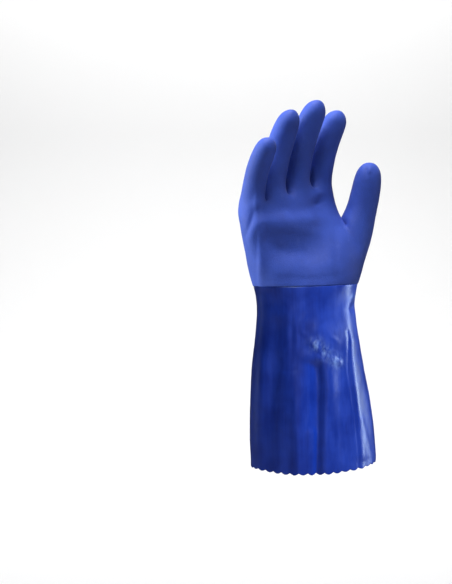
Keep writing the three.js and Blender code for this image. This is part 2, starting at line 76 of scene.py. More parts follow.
@dataclass(frozen=True)
class CuffSizes:
    """Sizes of the gauntlet, in mm and degrees."""

    length: float = 171.5
    hem_width: float = 118.0
    hem_depth: float = 82.0
    wrist_width: float = 94.0
    wrist_depth: float = 62.0
    wall: float = 1.4
    hem_turn: float = 6.0
    wrist_turn: float = 14.0
    hem_rise: float = 8.0
    dip_rise: float = 3.0
    bluntness: float = 0.95


@dataclass(frozen=True)
class HemSizes:
    """Sizes of the pinked hem, in mm."""

    pitch: float = 8.6
    depth: float = 1.8
    margin: float = 4.0
    steps: int = 8
    unevenness: float = 0.16
    seed: int = 11


@dataclass(frozen=True)
class PalmSizes:
    """Sizes of the palm, in mm and degrees."""

    length: float = 91.0
    width: float = 108.0
    thickness: float = 46.0
    knuckle_thickness: float = 33.0
    turn: float = 35.0
    knuckles_right: float = -0.232
    knuckles_front: float = -0.02


@dataclass(frozen=True)
class CoatSizes:
    """Thickness of the hand's coat and of the lap where it covers the gauntlet, in mm."""

    wall: float = 1.6
    step: float = 0.5
    skirt: float = 0.8
    gap: float = 0.3


@dataclass(frozen=True)
class CuffSection:
    """One ring of the cuff: shares of its length, of the way from hem to wrist and of the hem's width."""

    up: float
    waist: float
    right: float


@dataclass(frozen=True)
class PalmSection:
    """One ring of the palm: shares of the palm's length, width and thickness, and of its turn."""

    up: float
    wide: float
    thick: float
    right: float
    front: float
    turned: float
    slope: float
    full: float


@dataclass(frozen=True)
class Ring:
    """One ring of a digit: shares of its length, width and depth, and a tilt in degrees."""

    along: float
    wide: float
    deep: float
    tilt: float = 0.0


@dataclass(frozen=True)
class Digit:
    """A digit's sizes in mm, and how far it curls, leans and turns from its root to its tip, in degrees."""

    length: float
    width: float
    depth: float
    curl: tuple[float, float]
    lean: tuple[float, float]
    turn: float


@dataclass(frozen=True)
class Fold:
    """A rounded ridge or hollow that follows a line over the glove.

    side is 1 for the palm's side and -1 for the back. The line's points are shares of the part's width
    from the origin and of its length. reach is the spread from the line as a share of the width, out
    the height as a share of the thickness. skew makes the spread on the line's right longer than on its
    left, and taper lets the height die away at both ends. turn is the way that the surface faces where
    the fold is highest, in degrees, if that isn't the way of the part's palm side.
    """

    side: int
    line: tuple[tuple[float, float], ...]
    reach: float
    out: float
    skew: float = 0.0
    taper: float = 0.0
    turn: float | None = None


@dataclass(frozen=True)
class Relief:
    """Sizes that the folds of a part are shares of, in mm, and the turn of its palm's side in degrees."""

    base: float
    width: float
    length: float
    thickness: float
    turn: float


@dataclass(frozen=True)
class Ripples:
    """Soft unevenness of the dipped surface: its wavelength and height in mm, and its seed."""

    wavelength: float
    height: float
    seed: int


@dataclass(frozen=True)
class Crumples:
    """Where the cuff is crumpled, and the size of its facets in mm.

    A spot is a place, in shares like a fold's, and its reach as a share of the hem's width.
    """

    spots: tuple[tuple[float, float, float], ...]
    wavelength: float
    height: float
    seed: int


CUFF = CuffSizes()
HEM = HemSizes()
PALM = PalmSizes()
COAT = CoatSizes()
# How many times the cage's faces are divided for the gauntlet's outside, and for all the rest
FINE_LEVEL, COARSE_LEVEL = 4, 3
CUFF_SECTIONS = (
    CuffSection(0, 0, 0.002),
    CuffSection(0.11, 0.01, -0.006),
    CuffSection(0.22, 0.07, -0.013),
    CuffSection(0.33, 0.19, -0.023),
    CuffSection(0.44, 0.35, -0.035),
    CuffSection(0.54, 0.52, -0.044),
    CuffSection(0.64, 0.71, -0.05),
    CuffSection(0.74, 0.88, -0.053),
    CuffSection(0.84, 0.99, -0.055),
    CuffSection(0.93, 1, -0.058),
    CuffSection(1, 0.84, -0.063),
)
PALM_SECTIONS = (
    PalmSection(up=0.15, wide=1.016, thick=1.19, right=-0.07, front=0, turned=0.2, slope=0, full=0.85),
    PalmSection(up=0.36, wide=1.07, thick=1.06, right=-0.088, front=0.01, turned=0.45, slope=0.01, full=0.6),
    PalmSection(up=0.59, wide=0.985, thick=0.93, right=-0.186, front=0.01, turned=0.75, slope=0.03, full=0.5),
    PalmSection(up=0.8, wide=0.975, thick=0.8, right=-0.218, front=0, turned=0.92, slope=0.07, full=0.8),
)
# Crotches between the fingers: a share of half of the palm's width, and a share of its length
CROTCHES = ((-0.97, 0.85), (-0.6, 0.88), (-0.08, 0.95), (0.46, 1.04), (1, 1))
FINGER_RINGS = (
    Ring(0.17, 1, 1.06),
    Ring(0.38, 1, 1),
    Ring(0.6, 0.99, 0.97),
    Ring(0.8, 0.97, 0.94),
    Ring(0.94, 0.8, 0.77),
)
THUMB_RINGS = (
    Ring(0.3, 1.34, 1.12, 24),
    Ring(0.41, 1.17, 1.08, 12),
    Ring(0.52, 1.05, 1.03, 4),
    Ring(0.64, 1, 1),
    Ring(0.79, 0.97, 0.96),
    Ring(0.9, 0.88, 0.86),
    Ring(0.97, 0.66, 0.63),
)
FINGERS = (
    Digit(68, 20.2, 20, curl=(16, 50), lean=(-7, 5), turn=34),
    Digit(91.5, 23.6, 22.6, curl=(6, 39), lean=(0, 9.5), turn=30),
    Digit(96, 24.4, 23, curl=(5.5, 41), lean=(-1, 13), turn=28),
    Digit(82.5, 24.4, 23, curl=(3.5, 35), lean=(3, 18.5), turn=26),
)
THUMB = Digit(96.5, 27.5, 25, curl=(2, 16), lean=(26, -2), turn=12)
# How far along a digit the inner points of its tip are, as a share of its length, and how far they
# spread
FINGERTIP = (1.06, 0.0)
THUMB_TIP = (1.01, 0.9)
# Where the thumb starts: shares of the palm's width to the thumb's side and to the front, and of its
# length
THUMB_ROOT = (0.264, -0.15, 0.27)
# How far the hem rises at its edges, towards the thumb and at its back, as shares of its rise
HEM_SHAPE = {"edges": 0.75, "thumb": 0.35, "back": 0.3}
# The webs between the fingers, their two outer ends and the fingers' roots: shares of the knuckles'
# thickness, how far below the crotches they are as shares of the palm's length, and how far out the
# ends are as a share of the outermost crotches'
WEB_THICK, WEB_LOWER_FRONT, WEB_LOWER_BACK = 0.94, 0.055, 0.075
EDGE_THICK, EDGE_INSET = 0.68, 0.9
ROOT_THICK, ROOT_LOWER = 1.02, 0.03
# Direction of the first point of a digit's rings, and of its tip's first corner from there, in degrees
FINGER_START = 135.0
THUMB_START, TIP_CORNER = 60.0, 135.0
# Columns of the palm that the thumb's root takes up on each side of the middle, and columns in all
THUMB_REACH = 2
COLUMNS = 4 * len(CROTCHES)
# Steps in which a digit bends, and the power by which its bend grows along it
BEND_STEPS, BEND_GROWTH = 60, 1.3
# The hem's rows from the cuff's outer rim round its cut edge to the inner rim: the share of the way
# down to the teeth, and of the way through the wall
HEM_PROFILE = (
    (0.2, 0),
    (0.45, 0),
    (0.7, 0),
    (0.9, 0),
    (0.985, 0.03),
    (1, 0.2),
    (1, 0.8),
    (0.985, 0.97),
    (0.8, 1),
    (0.5, 1),
    (0.2, 1),
)
# The rounded edge of the hand's coat: how far up the glove its outside starts, and from there inwards
# the heights over the gauntlet and distances up the glove, in mm
COAT_START = 0.9
COAT_EDGE = ((0.46, 0.6), (0.36, 0.4), (0.2, 0.3))
PALM_FRAME = Relief(CUFF.length, PALM.width, PALM.length, PALM.thickness, PALM.turn)
CUFF_FRAME = Relief(0.0, CUFF.hem_width, CUFF.length, CUFF.wrist_depth, CUFF.wrist_turn)
# Main pads and hollows of the hand, most of which its solid has too, some of them at slightly other
# places, and then its smaller creases
PALM_FOLDS = {
    "thenar pad": Fold(1, ((0.24, 0.2), (0.3, 0.5)), 0.17, 0.09),
    "outer pad": Fold(1, ((-0.45, 0.15), (-0.52, 0.55)), 0.12, 0.04),
    "heel": Fold(1, ((-0.3, 0.16), (0.1, 0.22)), 0.12, 0.035),
    "hollow": Fold(1, ((-0.34, 0.41), (-0.08, 0.36)), 0.14, -0.09),
    "finger pads": Fold(1, ((-0.45, 0.64), (-0.05, 0.68)), 0.09, 0.05),
    "index dimple": Fold(1, ((0.03, 0.85), (0.07, 0.88)), 0.06, -0.035),
    "pinky knuckle": Fold(-1, ((-0.6, 0.74), (-0.58, 0.76)), 0.08, 0.03),
    "ring knuckle": Fold(-1, ((-0.4, 0.8), (-0.38, 0.83)), 0.09, 0.035),
    "middle knuckle": Fold(-1, ((-0.16, 0.85), (-0.14, 0.88)), 0.09, 0.04),
    "index knuckle": Fold(-1, ((0.1, 0.88), (0.12, 0.9)), 0.09, 0.035),
    "back hollow": Fold(-1, ((-0.2, 0.45), (0.1, 0.4)), 0.14, -0.03),
    "outer edge": Fold(1, ((-0.462, 0.53), (-0.46, 0.02)), 0.034, 0.034, skew=-0.4, taper=0.3, turn=5),
    "outer notch": Fold(
        1, ((-0.52, 0.76), (-0.545, 0.64), (-0.59, 0.5)), 0.022, -0.024, taper=0.5, turn=-20
    ),
    "notch's lip": Fold(
        1, ((-0.49, 0.66), (-0.53, 0.52), (-0.54, 0.44)), 0.024, 0.008, taper=0.6, turn=-20
    ),
    "pinky's root": Fold(
        1, ((-0.49, 0.98), (-0.5, 0.85), (-0.5, 0.72)), 0.03, 0.02, skew=-0.3, taper=0.5, turn=5
    ),
    "under fingers": Fold(1, ((-0.44, 0.66), (-0.1, 0.68), (0.15, 0.69)), 0.05, 0.02, taper=0.5),
    "finger roots": Fold(1, ((-0.42, 0.78), (-0.1, 0.8), (0.1, 0.84)), 0.07, -0.036, taper=0.5),
    "hollow's edge": Fold(
        1, ((-0.44, 0.585), (-0.2, 0.58), (0.02, 0.54)), 0.04, 0.02, skew=-0.4, taper=0.6
    ),
    "hollow's floor": Fold(1, ((-0.34, 0.38), (-0.14, 0.36)), 0.08, -0.045, taper=0.4),
    "hollow's left": Fold(1, ((-0.41, 0.6), (-0.42, 0.45)), 0.03, -0.03, taper=0.3),
    "index bump": Fold(1, ((0.03, 0.97), (0.055, 0.975)), 0.026, 0.034, taper=0.2),
    "index pit": Fold(1, ((0.035, 0.87), (0.065, 0.875)), 0.024, -0.034, taper=0.2),
    "thumb crease": Fold(
        1, ((0.18, 0.56), (0.165, 0.3), (0.175, 0.02)), 0.026, -0.012, skew=-0.3, taper=0.5
    ),
    "thumb tick": Fold(1, ((0.494, 1.22), (0.49, 1.18)), 0.013, 0.02, taper=0.2),
    "thumb dimple": Fold(1, ((0.47, 1.25), (0.475, 1.16)), 0.02, -0.012, taper=0.4),
    "heel crease": Fold(1, ((-0.36, 0.1), (-0.05, 0.07), (0.2, 0.1)), 0.025, -0.009, taper=0.8),
    "thumb web": Fold(-1, ((0.28, 0.66), (0.18, 0.45)), 0.03, -0.02, taper=0.7),
    "back crease": Fold(-1, ((-0.45, 0.3), (-0.2, 0.24), (0.1, 0.28)), 0.022, -0.015, taper=0.7),
    "back tendon": Fold(-1, ((-0.16, 0.85), (-0.1, 0.4)), 0.03, 0.014, taper=0.5),
}
# Main folds of the gauntlet, which its solid has too, some of them at slightly other places, and then
# its crumples and ridges
CUFF_FOLDS = {
    "left wave": Fold(1, ((-0.3, 0.88), (-0.32, 0.62), (-0.37, 0.04)), 0.07, -0.045, taper=0.6),
    "left ridge": Fold(1, ((-0.13, 0.56), (-0.13, -0.3)), 0.06, 0.038, taper=0.9),
    "middle fold": Fold(1, ((0.02, 0.57), (0.005, 0)), 0.06, -0.055, skew=0.45),
    "middle ridge": Fold(1, ((-0.04, 0.22), (-0.05, 0)), 0.04, 0.03),
    "fold's shoulder": Fold(1, ((0.07, 0.68), (0.14, 0.45)), 0.06, 0.022),
    "right ridge": Fold(1, ((0.3, 0.7), (0.36, 0.1)), 0.06, 0.03),
    "wrist pinch": Fold(1, ((0.42, 0.98), (0.32, 0.89)), 0.04, -0.032),
    "wrist bulge": Fold(1, ((0.02, 0.76), (0.16, 0.7)), 0.08, 0.03),
    "back fold": Fold(-1, ((0.05, 0.6), (0.12, 0)), 0.07, -0.05),
    "back ridge": Fold(-1, ((-0.12, 0.55), (-0.16, 0)), 0.07, 0.035),
    "back wave": Fold(-1, ((-0.3, 0.7), (-0.34, 0.1)), 0.06, -0.03),
    "back pinch": Fold(-1, ((0.25, 0.84), (0.05, 0.72)), 0.06, -0.035),
    "fold's crest": Fold(
        1,
        (
            (-0.084, 0.62),
            (-0.024, 0.612),
            (0.036, 0.588),
            (0.076, 0.543),
            (0.09, 0.48),
            (0.088, 0.37),
            (0.071, 0.2),
            (0.061, 0),
        ),
        0.044,
        0.019,
        skew=-0.3,
        taper=0.5,
    ),
    "fold's valley": Fold(
        1,
        ((-0.024, 0.585), (0.026, 0.55), (0.046, 0.48), (0.041, 0.3), (0.026, 0)),
        0.036,
        -0.012,
        taper=0.5,
    ),
    "streak": Fold(1, ((-0.01, 0.24), (-0.016, 0.12), (-0.024, -0.03)), 0.022, 0.011, taper=0.6),
    "light band": Fold(1, ((-0.184, 0.62), (-0.159, 0.3), (-0.144, -0.1)), 0.05, 0.012, skew=0.3, taper=1),
    "dark band": Fold(1, ((-0.312, 0.6), (-0.352, 0.3), (-0.352, 0)), 0.06, -0.01),
    "outer light": Fold(1, ((-0.417, 0.65), (-0.427, 0.5), (-0.422, 0.36)), 0.035, 0.014, taper=0.5),
    "cross crease": Fold(
        1, ((-0.302, 0.562), (-0.214, 0.553), (-0.114, 0.562)), 0.05, -0.006, skew=-0.6, taper=0.8
    ),
    "wrist roll": Fold(1, ((-0.412, 0.87), (-0.262, 0.85), (-0.144, 0.87)), 0.09, 0.022, taper=0.4),
    "wrist streak": Fold(1, ((-0.214, 0.86), (-0.211, 0.62)), 0.016, 0.005, taper=0.8),
    "second wrist streak": Fold(1, ((-0.159, 0.88), (-0.142, 0.64)), 0.018, 0.007, taper=0.8),
    "swirl": Fold(
        1, ((-0.074, 0.85), (-0.114, 0.81), (-0.109, 0.76), (-0.069, 0.735)), 0.02, 0.009, taper=0.6
    ),
    "crumple left": Fold(1, ((-0.024, 0.7), (0.006, 0.68)), 0.038, 0.024, taper=0.2),
    "crumple crease": Fold(1, ((0.031, 0.7), (0.051, 0.66), (0.076, 0.61)), 0.016, -0.012, taper=0.4),
    "crumple right": Fold(1, ((0.126, 0.605), (0.176, 0.595)), 0.036, 0.022, taper=0.2),
    "crumple top": Fold(1, ((0.121, 0.73), (0.171, 0.705)), 0.016, 0.006, taper=0.5),
    "crumple low": Fold(1, ((0.126, 0.585), (0.191, 0.567)), 0.014, -0.006, taper=0.5),
    "crumple side": Fold(1, ((0.086, 0.66), (0.136, 0.655), (0.176, 0.64)), 0.015, 0.006, taper=0.6),
    "crumple pit": Fold(1, ((0.006, 0.645), (0.036, 0.635)), 0.016, -0.006, taper=0.4),
    "pinch ridge": Fold(1, ((0.345, 0.97), (0.28, 0.9)), 0.028, 0.012, skew=0.3, taper=0.3),
    "long ridge": Fold(
        1,
        ((0.29, 1.03), (0.265, 0.87), (0.28, 0.75), (0.283, 0.54), (0.31, 0.42), (0.335, 0.3), (0.37, 0.02)),
        0.046,
        0.014,
        skew=0.3,
    ),
    "long line": Fold(
        1, ((0.258, 0.76), (0.256, 0.55), (0.283, 0.42), (0.307, 0.3), (0.34, 0.02)), 0.011, -0.009
    ),
    "second ridge": Fold(1, ((0.365, 0.28), (0.41, 0.16), (0.466, 0.03)), 0.025, 0.013, taper=0.4),
    "right wave": Fold(1, ((0.176, 0.5), (0.21, 0.3), (0.23, 0.03)), 0.04, -0.012, taper=0.5),
    "back crumple": Fold(-1, ((0.02, 0.66), (0.1, 0.62), (0.16, 0.64)), 0.022, 0.016, taper=0.5),
    "back crumple pit": Fold(-1, ((-0.02, 0.6), (0.06, 0.57), (0.12, 0.59)), 0.022, -0.016, taper=0.5),
    "back long ridge": Fold(-1, ((0.2, 0.7), (0.24, 0.4), (0.3, 0.03)), 0.03, 0.014, skew=0.3),
    "back side ridge": Fold(-1, ((-0.36, 0.8), (-0.4, 0.4), (-0.42, 0.05)), 0.03, 0.013, skew=-0.3),
    "back lip": Fold(-1, ((-0.03, 0.58), (0.02, 0.4), (0.03, 0.1)), 0.03, 0.012, taper=0.3),
    "back wrist": Fold(-1, ((-0.3, 0.93), (-0.1, 0.89), (0.1, 0.92)), 0.035, -0.012, taper=0.6),
}
# How squarely a point has to face a fold's way to be lifted in full, as a cosine
RELIEF_FADE = 0.7
# A distance in mm that keeps a division safe
NEARLY_ZERO = 1e-6
# Waves that each unevenness is a sum of, and the shortest and longest of them as shares of its
# wavelength
WAVES = 7
RIPPLE_SPREAD, CRUMPLE_SPREAD = (0.7, 1.6), (0.7, 1.5)
# Name of the attribute that says how crumpled a point is
CRUMPLED = "crumpled"
RIPPLES = (Ripples(26, 0.14, 3), Ripples(11, 0.05, 4))
CRUMPLES = Crumples(
    spots=((0.005, 0.69, 0.05), (0.065, 0.65, 0.05), (0.16, 0.6, 0.05), (0.32, 0.94, 0.035)),
    wavelength=5.5,
    height=0.5,
    seed=8,
)


def across(turn: float) -> np.ndarray:
    """Returns the sideways direction of a section that is turned about +Z by turn degrees."""
    return np.array([math.cos(math.radians(turn)), math.sin(math.radians(turn)), 0.0])


def palmar(turn: float) -> np.ndarray:
    """Returns the palm's direction of a section that is turned about +Z by turn degrees."""
    return np.array([math.sin(math.radians(turn)), -math.cos(math.radians(turn)), 0.0])


def mix(low: float, high: float, share: float) -> float:
    """Returns the value at a share of the way from low to high."""
    return low + (high - low) * share


def settles(count: int) -> float:
    """Returns the share of its size to which smoothing draws a closed ring of count points."""
    return (2 + math.cos(2 * math.pi / count)) / 3


def dip(side: float) -> float:
    """Returns how far the edge of the hand's coat has risen at a side from -1 to 1, the thumb's."""
    return (side + side**2) / 2


def section_ring(
    centre: tuple[float, float, float],
    width: float,
    depth: float,
    turn: float,
    full: float,
    rise: Callable[[float, float], float],
) -> list[np.ndarray]:
    """Makes one ring round the cuff or the palm, a flattened ellipse.

    Args:
        centre: middle of the ring, in mm.
        width: size of the ring from side to side.
        depth: size of the ring from palm to back.
        turn: turn about +Z in degrees.
        full: power of the thumb's side, which is blunter below 1.
        rise: function of side and front, each from -1 to 1, that gives the height of a point.

    Returns:
        The ring's points, from the outer edge across the palm's side and back.
    """

    def blunt(value: float, power: float) -> float:
        """Returns a coordinate of the blunted circle."""
        return math.copysign(abs(value) ** power, value) / settles(COLUMNS)

    ring = []
    for i in range(COLUMNS):
        angle = math.pi - i * 2 * math.pi / COLUMNS
        side, front = math.cos(angle), math.sin(angle)
        power = full if side > 0 else CUFF.bluntness
        point = np.array(centre, float) + across(turn) * blunt(side, CUFF.bluntness) * width / 2
        ring.append(point + palmar(turn) * blunt(front, power) * depth / 2 + UP * rise(side, front))
    return ring


def cuff_rings() -> list[list[np.ndarray]]:
    """Lays out the rings of the cuff.

    Returns:
        The rings, from the hem up.
    """
    base = HEM.margin + HEM.depth

    def ring(section: CuffSection) -> list[np.ndarray]:
        """Makes one ring.

        Args:
            section: the ring's shares.

        Returns:
            Its points.
        """

        def rise(side: float, front: float) -> float:
            """Lifts the hem at its edges and its back, and the top towards the thumb."""
            hem = HEM_SHAPE["edges"] * side**2 + HEM_SHAPE["thumb"] * side - HEM_SHAPE["back"] * min(front, 0)
            return (1 - section.up) * CUFF.hem_rise * hem + section.up * CUFF.dip_rise * dip(side)

        return section_ring(
            centre=(section.right * CUFF.hem_width, 0, mix(base, CUFF.length, section.up)),
            width=mix(CUFF.hem_width, CUFF.wrist_width, section.waist),
            depth=mix(CUFF.hem_depth, CUFF.wrist_depth, section.waist),
            turn=mix(CUFF.hem_turn, CUFF.wrist_turn, section.up),
            full=CUFF.bluntness,
            rise=rise,
        )

    return [ring(section) for section in CUFF_SECTIONS]


def palm_rings() -> list[list[np.ndarray]]:
    """Lays out the rings of the palm.

    Returns:
        The rings, from above the edge of its coat up.
    """

    def ring(s: PalmSection) -> list[np.ndarray]:
        """Makes one ring.

        Args:
            s: the ring's shares.

        Returns:
            Its points.
        """

        def rise(side: float, _front: float) -> float:
            """Lifts the thumb's side."""
            return (1 - s.turned) * CUFF.dip_rise * dip(side) + s.slope * PALM.length * side

        return section_ring(
            centre=(s.right * PALM.width, -s.front * PALM.width, CUFF.length + s.up * PALM.length),
            width=s.wide * PALM.width,
            depth=s.thick * PALM.thickness,
            turn=mix(CUFF.wrist_turn, PALM.turn, s.turned),
            full=s.full,
            rise=rise,
        )

    return [ring(section) for section in PALM_SECTIONS]


def digit_line(root: np.ndarray, digit: Digit, reach: float) -> list[tuple[np.ndarray, ...]]:
    """Follows a digit from its root, bending as it goes.

    Args:
        root: where the line starts, in mm.
        digit: the digit's sizes and bends.
        reach: length of the line as a share of the digit's.

    Returns:
        For each step its point, and the directions ahead, sideways and to its palm side.
    """
    side, palm = across(digit.turn), palmar(digit.turn)
    point, line = np.array(root, float), []
    for i in range(math.ceil(reach * BEND_STEPS) + 1):
        share = min(i / BEND_STEPS, 1) ** BEND_GROWTH
        bent = math.radians(mix(*digit.curl, share))
        leant = math.radians(mix(*digit.lean, share))
        ahead = UP * math.cos(bent) * math.cos(leant) + side * math.sin(leant)
        ahead = ahead + palm * math.sin(bent) * math.cos(leant)
        sideways = side - ahead * side.dot(ahead)
        sideways /= np.linalg.norm(sideways)
        front = np.cross(sideways, ahead)
        line.append((point.copy(), ahead, sideways, front / np.linalg.norm(front)))
        point = point + ahead * digit.length / BEND_STEPS
    return line


class GloveCage:
    """The cage of four-sided faces that smoothing turns into the glove's outer surface."""

    def __init__(self) -> None:
        """Starts an empty cage."""
        self.points: list[np.ndarray] = []
        self.faces: list[tuple[int, ...]] = []
        self.parts: list[int] = []

    def add(self, points: Iterable[np.ndarray], left_out: Iterable[int] = ()) -> list[int]:
        """Adds points to the cage.

        Args:
            points: the points, in mm.
            left_out: which of them aren't needed.

        Returns:
            Their numbers, with -1 for those left out.
        """
        numbers = []
        for i, point in enumerate(points):
            if i in left_out:
                numbers.append(-1)
                continue
            self.points.append(point)
            numbers.append(len(self.points) - 1)
        return numbers

    def face(self, part: Part, *corners: int) -> None:
        """Adds one face to a part."""
        self.faces.append(corners)
        self.parts.append(part.value)

    def band(self, part: Part, lower: list[int], upper: list[int], open_at: Iterable[int] = ()) -> None:
        """Joins two rings with a band of faces.

        Args:
            part: the part that the faces belong to.
            lower: numbers of the lower ring's points.
            upper: numbers of the upper ring's points.
            open_at: columns that stay open.
        """
        for i in range(len(lower)):
            after = (i + 1) % len(lower)
            if i not in open_at:
                self.face(part, lower[i], lower[after], upper[after], upper[i])

    def cap(self, ring: list[int], inner: list[int]) -> None:
        """Closes a digit's last ring with a square grid of faces.

        Args:
            ring: numbers of the ring's points, which are the grid's edge.
            inner: numbers of the points inside it, row by row.
        """
        steps = len(ring) // 4

        def at(row: int, column: int) -> int:
            """Finds a point of the grid.

            Args:
                row: its row, from the ring's first corner.
                column: its column.

            Returns:
                Its number.
            """
            if row == 0:
                return ring[column]
            if column == steps:
                return ring[steps + row]
            if row == steps:
                return ring[3 * steps - column]
            if column == 0:
                return ring[4 * steps - row]
            return inner[(row - 1) * (steps - 1) + column - 1]

        for row in range(steps):
            for column in range(steps):
                corners = ((row, column), (row, column + 1), (row + 1, column + 1), (row + 1, column))
                self.face(Part.HAND, *(at(*corner) for corner in corners))

    def digit(
        self,
        base: list[int],
        root: np.ndarray,
        digit: Digit,
        rings: tuple[Ring, ...],
        tip: tuple[float, float],
        start: float,
    ) -> None:
        """Grows a digit from a ring of the cage.

        Args:
            base: the ring of points that the digit opens from.
            root: where its line starts, in mm.
            digit: its sizes and bends.
            rings: its rings, from the root up.
            tip: how far along its tip's inner points are, and how far they spread.
            start: direction of the first point of each ring, in degrees.
        """
        line = digit_line(root, digit, tip[0])
        count = len(base)

        def place(along: float, tilt: float, side: float, front: float) -> np.ndarray:
            """Finds a point beside the digit's line.

            Args:
                along: how far along the line, as a share of its length.
                tilt: slant of the ring there, in degrees.
                side: how far sideways, as a share of half of the width.
                front: how far to the palm's side, as a share of half of the depth.

            Returns:
                The point, in mm.
            """
            point, ahead, sideways, palm = line[round(along * BEND_STEPS)]
            slant = math.radians(tilt)
            out = sideways * math.cos(slant) - ahead * math.sin(slant)
            return point + out * side * digit.width / 2 + palm * front * digit.depth / 2

        lower = base
        for ring in rings:
            turns = [math.radians(start - i * 360 / count) for i in range(count)]
            wide, deep = ring.wide / settles(count), ring.deep / settles(count)
            spots = [place(ring.along, ring.tilt, math.cos(t) * wide, math.sin(t) * deep) for t in turns]
            upper = self.add(spots)
            self.band(Part.HAND, lower, upper)
            lower = upper
        steps = count // 4
        a, b = math.radians(start - TIP_CORNER), math.radians(start + TIP_CORNER)
        inner = []
        for row in range(1, steps):
            for column in range(1, steps):
                u = (2 * column / steps - 1) * tip[1]
                v = (2 * row / steps - 1) * tip[1]
                side = u * math.cos(a) + v * math.cos(b)
                front = u * math.sin(a) + v * math.sin(b)
                inner.append(place(tip[0], 0, side, front))
        self.cap(lower, self.add(inner))

    def fingers(self, palm_top: list[int]) -> None:
        """Closes the palm's last ring with webs and grows the four fingers from between them.

        Args:
            palm_top: numbers of the last ring's points.
        """
        middle = np.array([PALM.knuckles_right * PALM.width, -PALM.knuckles_front * PALM.width, CUFF.length])
        last = len(CROTCHES) - 1

        def at(share: float, up: float, front: float) -> np.ndarray:
            """Returns a point of the knuckles' line."""
            point = middle + across(PALM.turn) * share * PALM.width / 2
            return point + palmar(PALM.turn) * front * PALM.knuckle_thickness / 2 + UP * up * PALM.length

        def web(front: int, lower: float) -> list[int]:
            """Adds the points in front of or behind the crotches.

            Args:
                front: 1 for the palm's side and -1 for the back.
                lower: how far they are below the crotches, as a share of the palm's length.

            Returns:
                Their numbers.
            """
            spots = []
            for i, (share, up) in enumerate(CROTCHES):
                if i in (0, last):
                    spots.append(at(share * EDGE_INSET, up, front * EDGE_THICK))
                else:
                    spots.append(at(share, up - lower, front * WEB_THICK))
            return self.add(spots)

        def roots(front: int) -> list[int]:
            """Adds the points in front of or behind the fingers' roots.

            Args:
                front: 1 for the palm's side and -1 for the back.

            Returns:
                Their numbers.
            """
            pairs = zip(CROTCHES, CROTCHES[1:])
            return self.add(
                at((a[0] + b[0]) / 2, (a[1] + b[1]) / 2 - ROOT_LOWER, front * ROOT_THICK) for a, b in pairs
            )

        web_front = web(1, WEB_LOWER_FRONT)
        web_middle = self.add(at(share, up, 0) for share, up in CROTCHES)
        web_back = web(-1, WEB_LOWER_BACK)
        front, back = roots(1), roots(-1)
        loop = [web_middle[0]]
        for i in range(last):
            loop += [web_front[i], front[i]]
        loop += [web_front[last], web_middle[last], web_back[last]]
        for i in reversed(range(last)):
            loop += [back[i], web_back[i]]
        self.band(Part.HAND, palm_top, loop)
        for i, finger in enumerate(FINGERS):
            base = [web_front[i], front[i], web_front[i + 1], web_middle[i + 1]]
            base += [web_back[i + 1], back[i], web_back[i], web_middle[i]]
            corners = [web_front[i], web_front[i + 1], web_back[i], web_back[i + 1]]
            root = np.mean([self.points[p] for p in corners], axis=0)
            self.digit(base, root, finger, FINGER_RINGS, FINGERTIP, FINGER_START)

    def build(self) -> "GloveCage":
        """Builds the whole cage, in which the thumb opens from the palm's three lowest rings.

        Returns:
            The cage itself.
        """
        cuff = [self.add(ring) for ring in cuff_rings()]
        for lower, upper in zip(cuff, cuff[1:]):
            self.band(Part.CUFF, lower, upper)
        first = COLUMNS // 2 - THUMB_REACH
        end = COLUMNS // 2 + THUMB_REACH
        open_points = range(first + 1, end)
        rows = [self.add(ring, open_points if i == 1 else ()) for i, ring in enumerate(palm_rings())]
        self.band(Part.HAND, cuff[-1], rows[0])
        for i, (lower, upper) in enumerate(zip(rows, rows[1:])):
            self.band(Part.HAND, lower, upper, range(first, end) if i < 2 else ())
        self.fingers(rows[-1])
        low, between, high = rows[:3]
        base = [*low[first : end + 1], between[end], *reversed(high[first : end + 1]), between[first]]
        right, front, up = THUMB_ROOT
        root = np.array([right * PALM.width, -front * PALM.width, CUFF.length + up * PALM.length])
        self.digit(base, root, THUMB, THUMB_RINGS, THUMB_TIP, THUMB_START)
        return self


def vertex_normals(points: np.ndarray, faces: np.ndarray) -> np.ndarray:
    """Works out the normals of a mesh at its points.

    Args:
        points: its points, in mm.
        faces: its four-sided faces.

    Returns:
        A unit normal for each point.
    """
    a, b, c, d = (points[faces[:, k]] for k in range(4))
    across_face = np.cross(c - a, d - b)
    normals = np.zeros_like(points)
    for k in range(4):
        np.add.at(normals, faces[:, k], across_face)
    return normals / np.linalg.norm(normals, axis=1, keepdims=True)


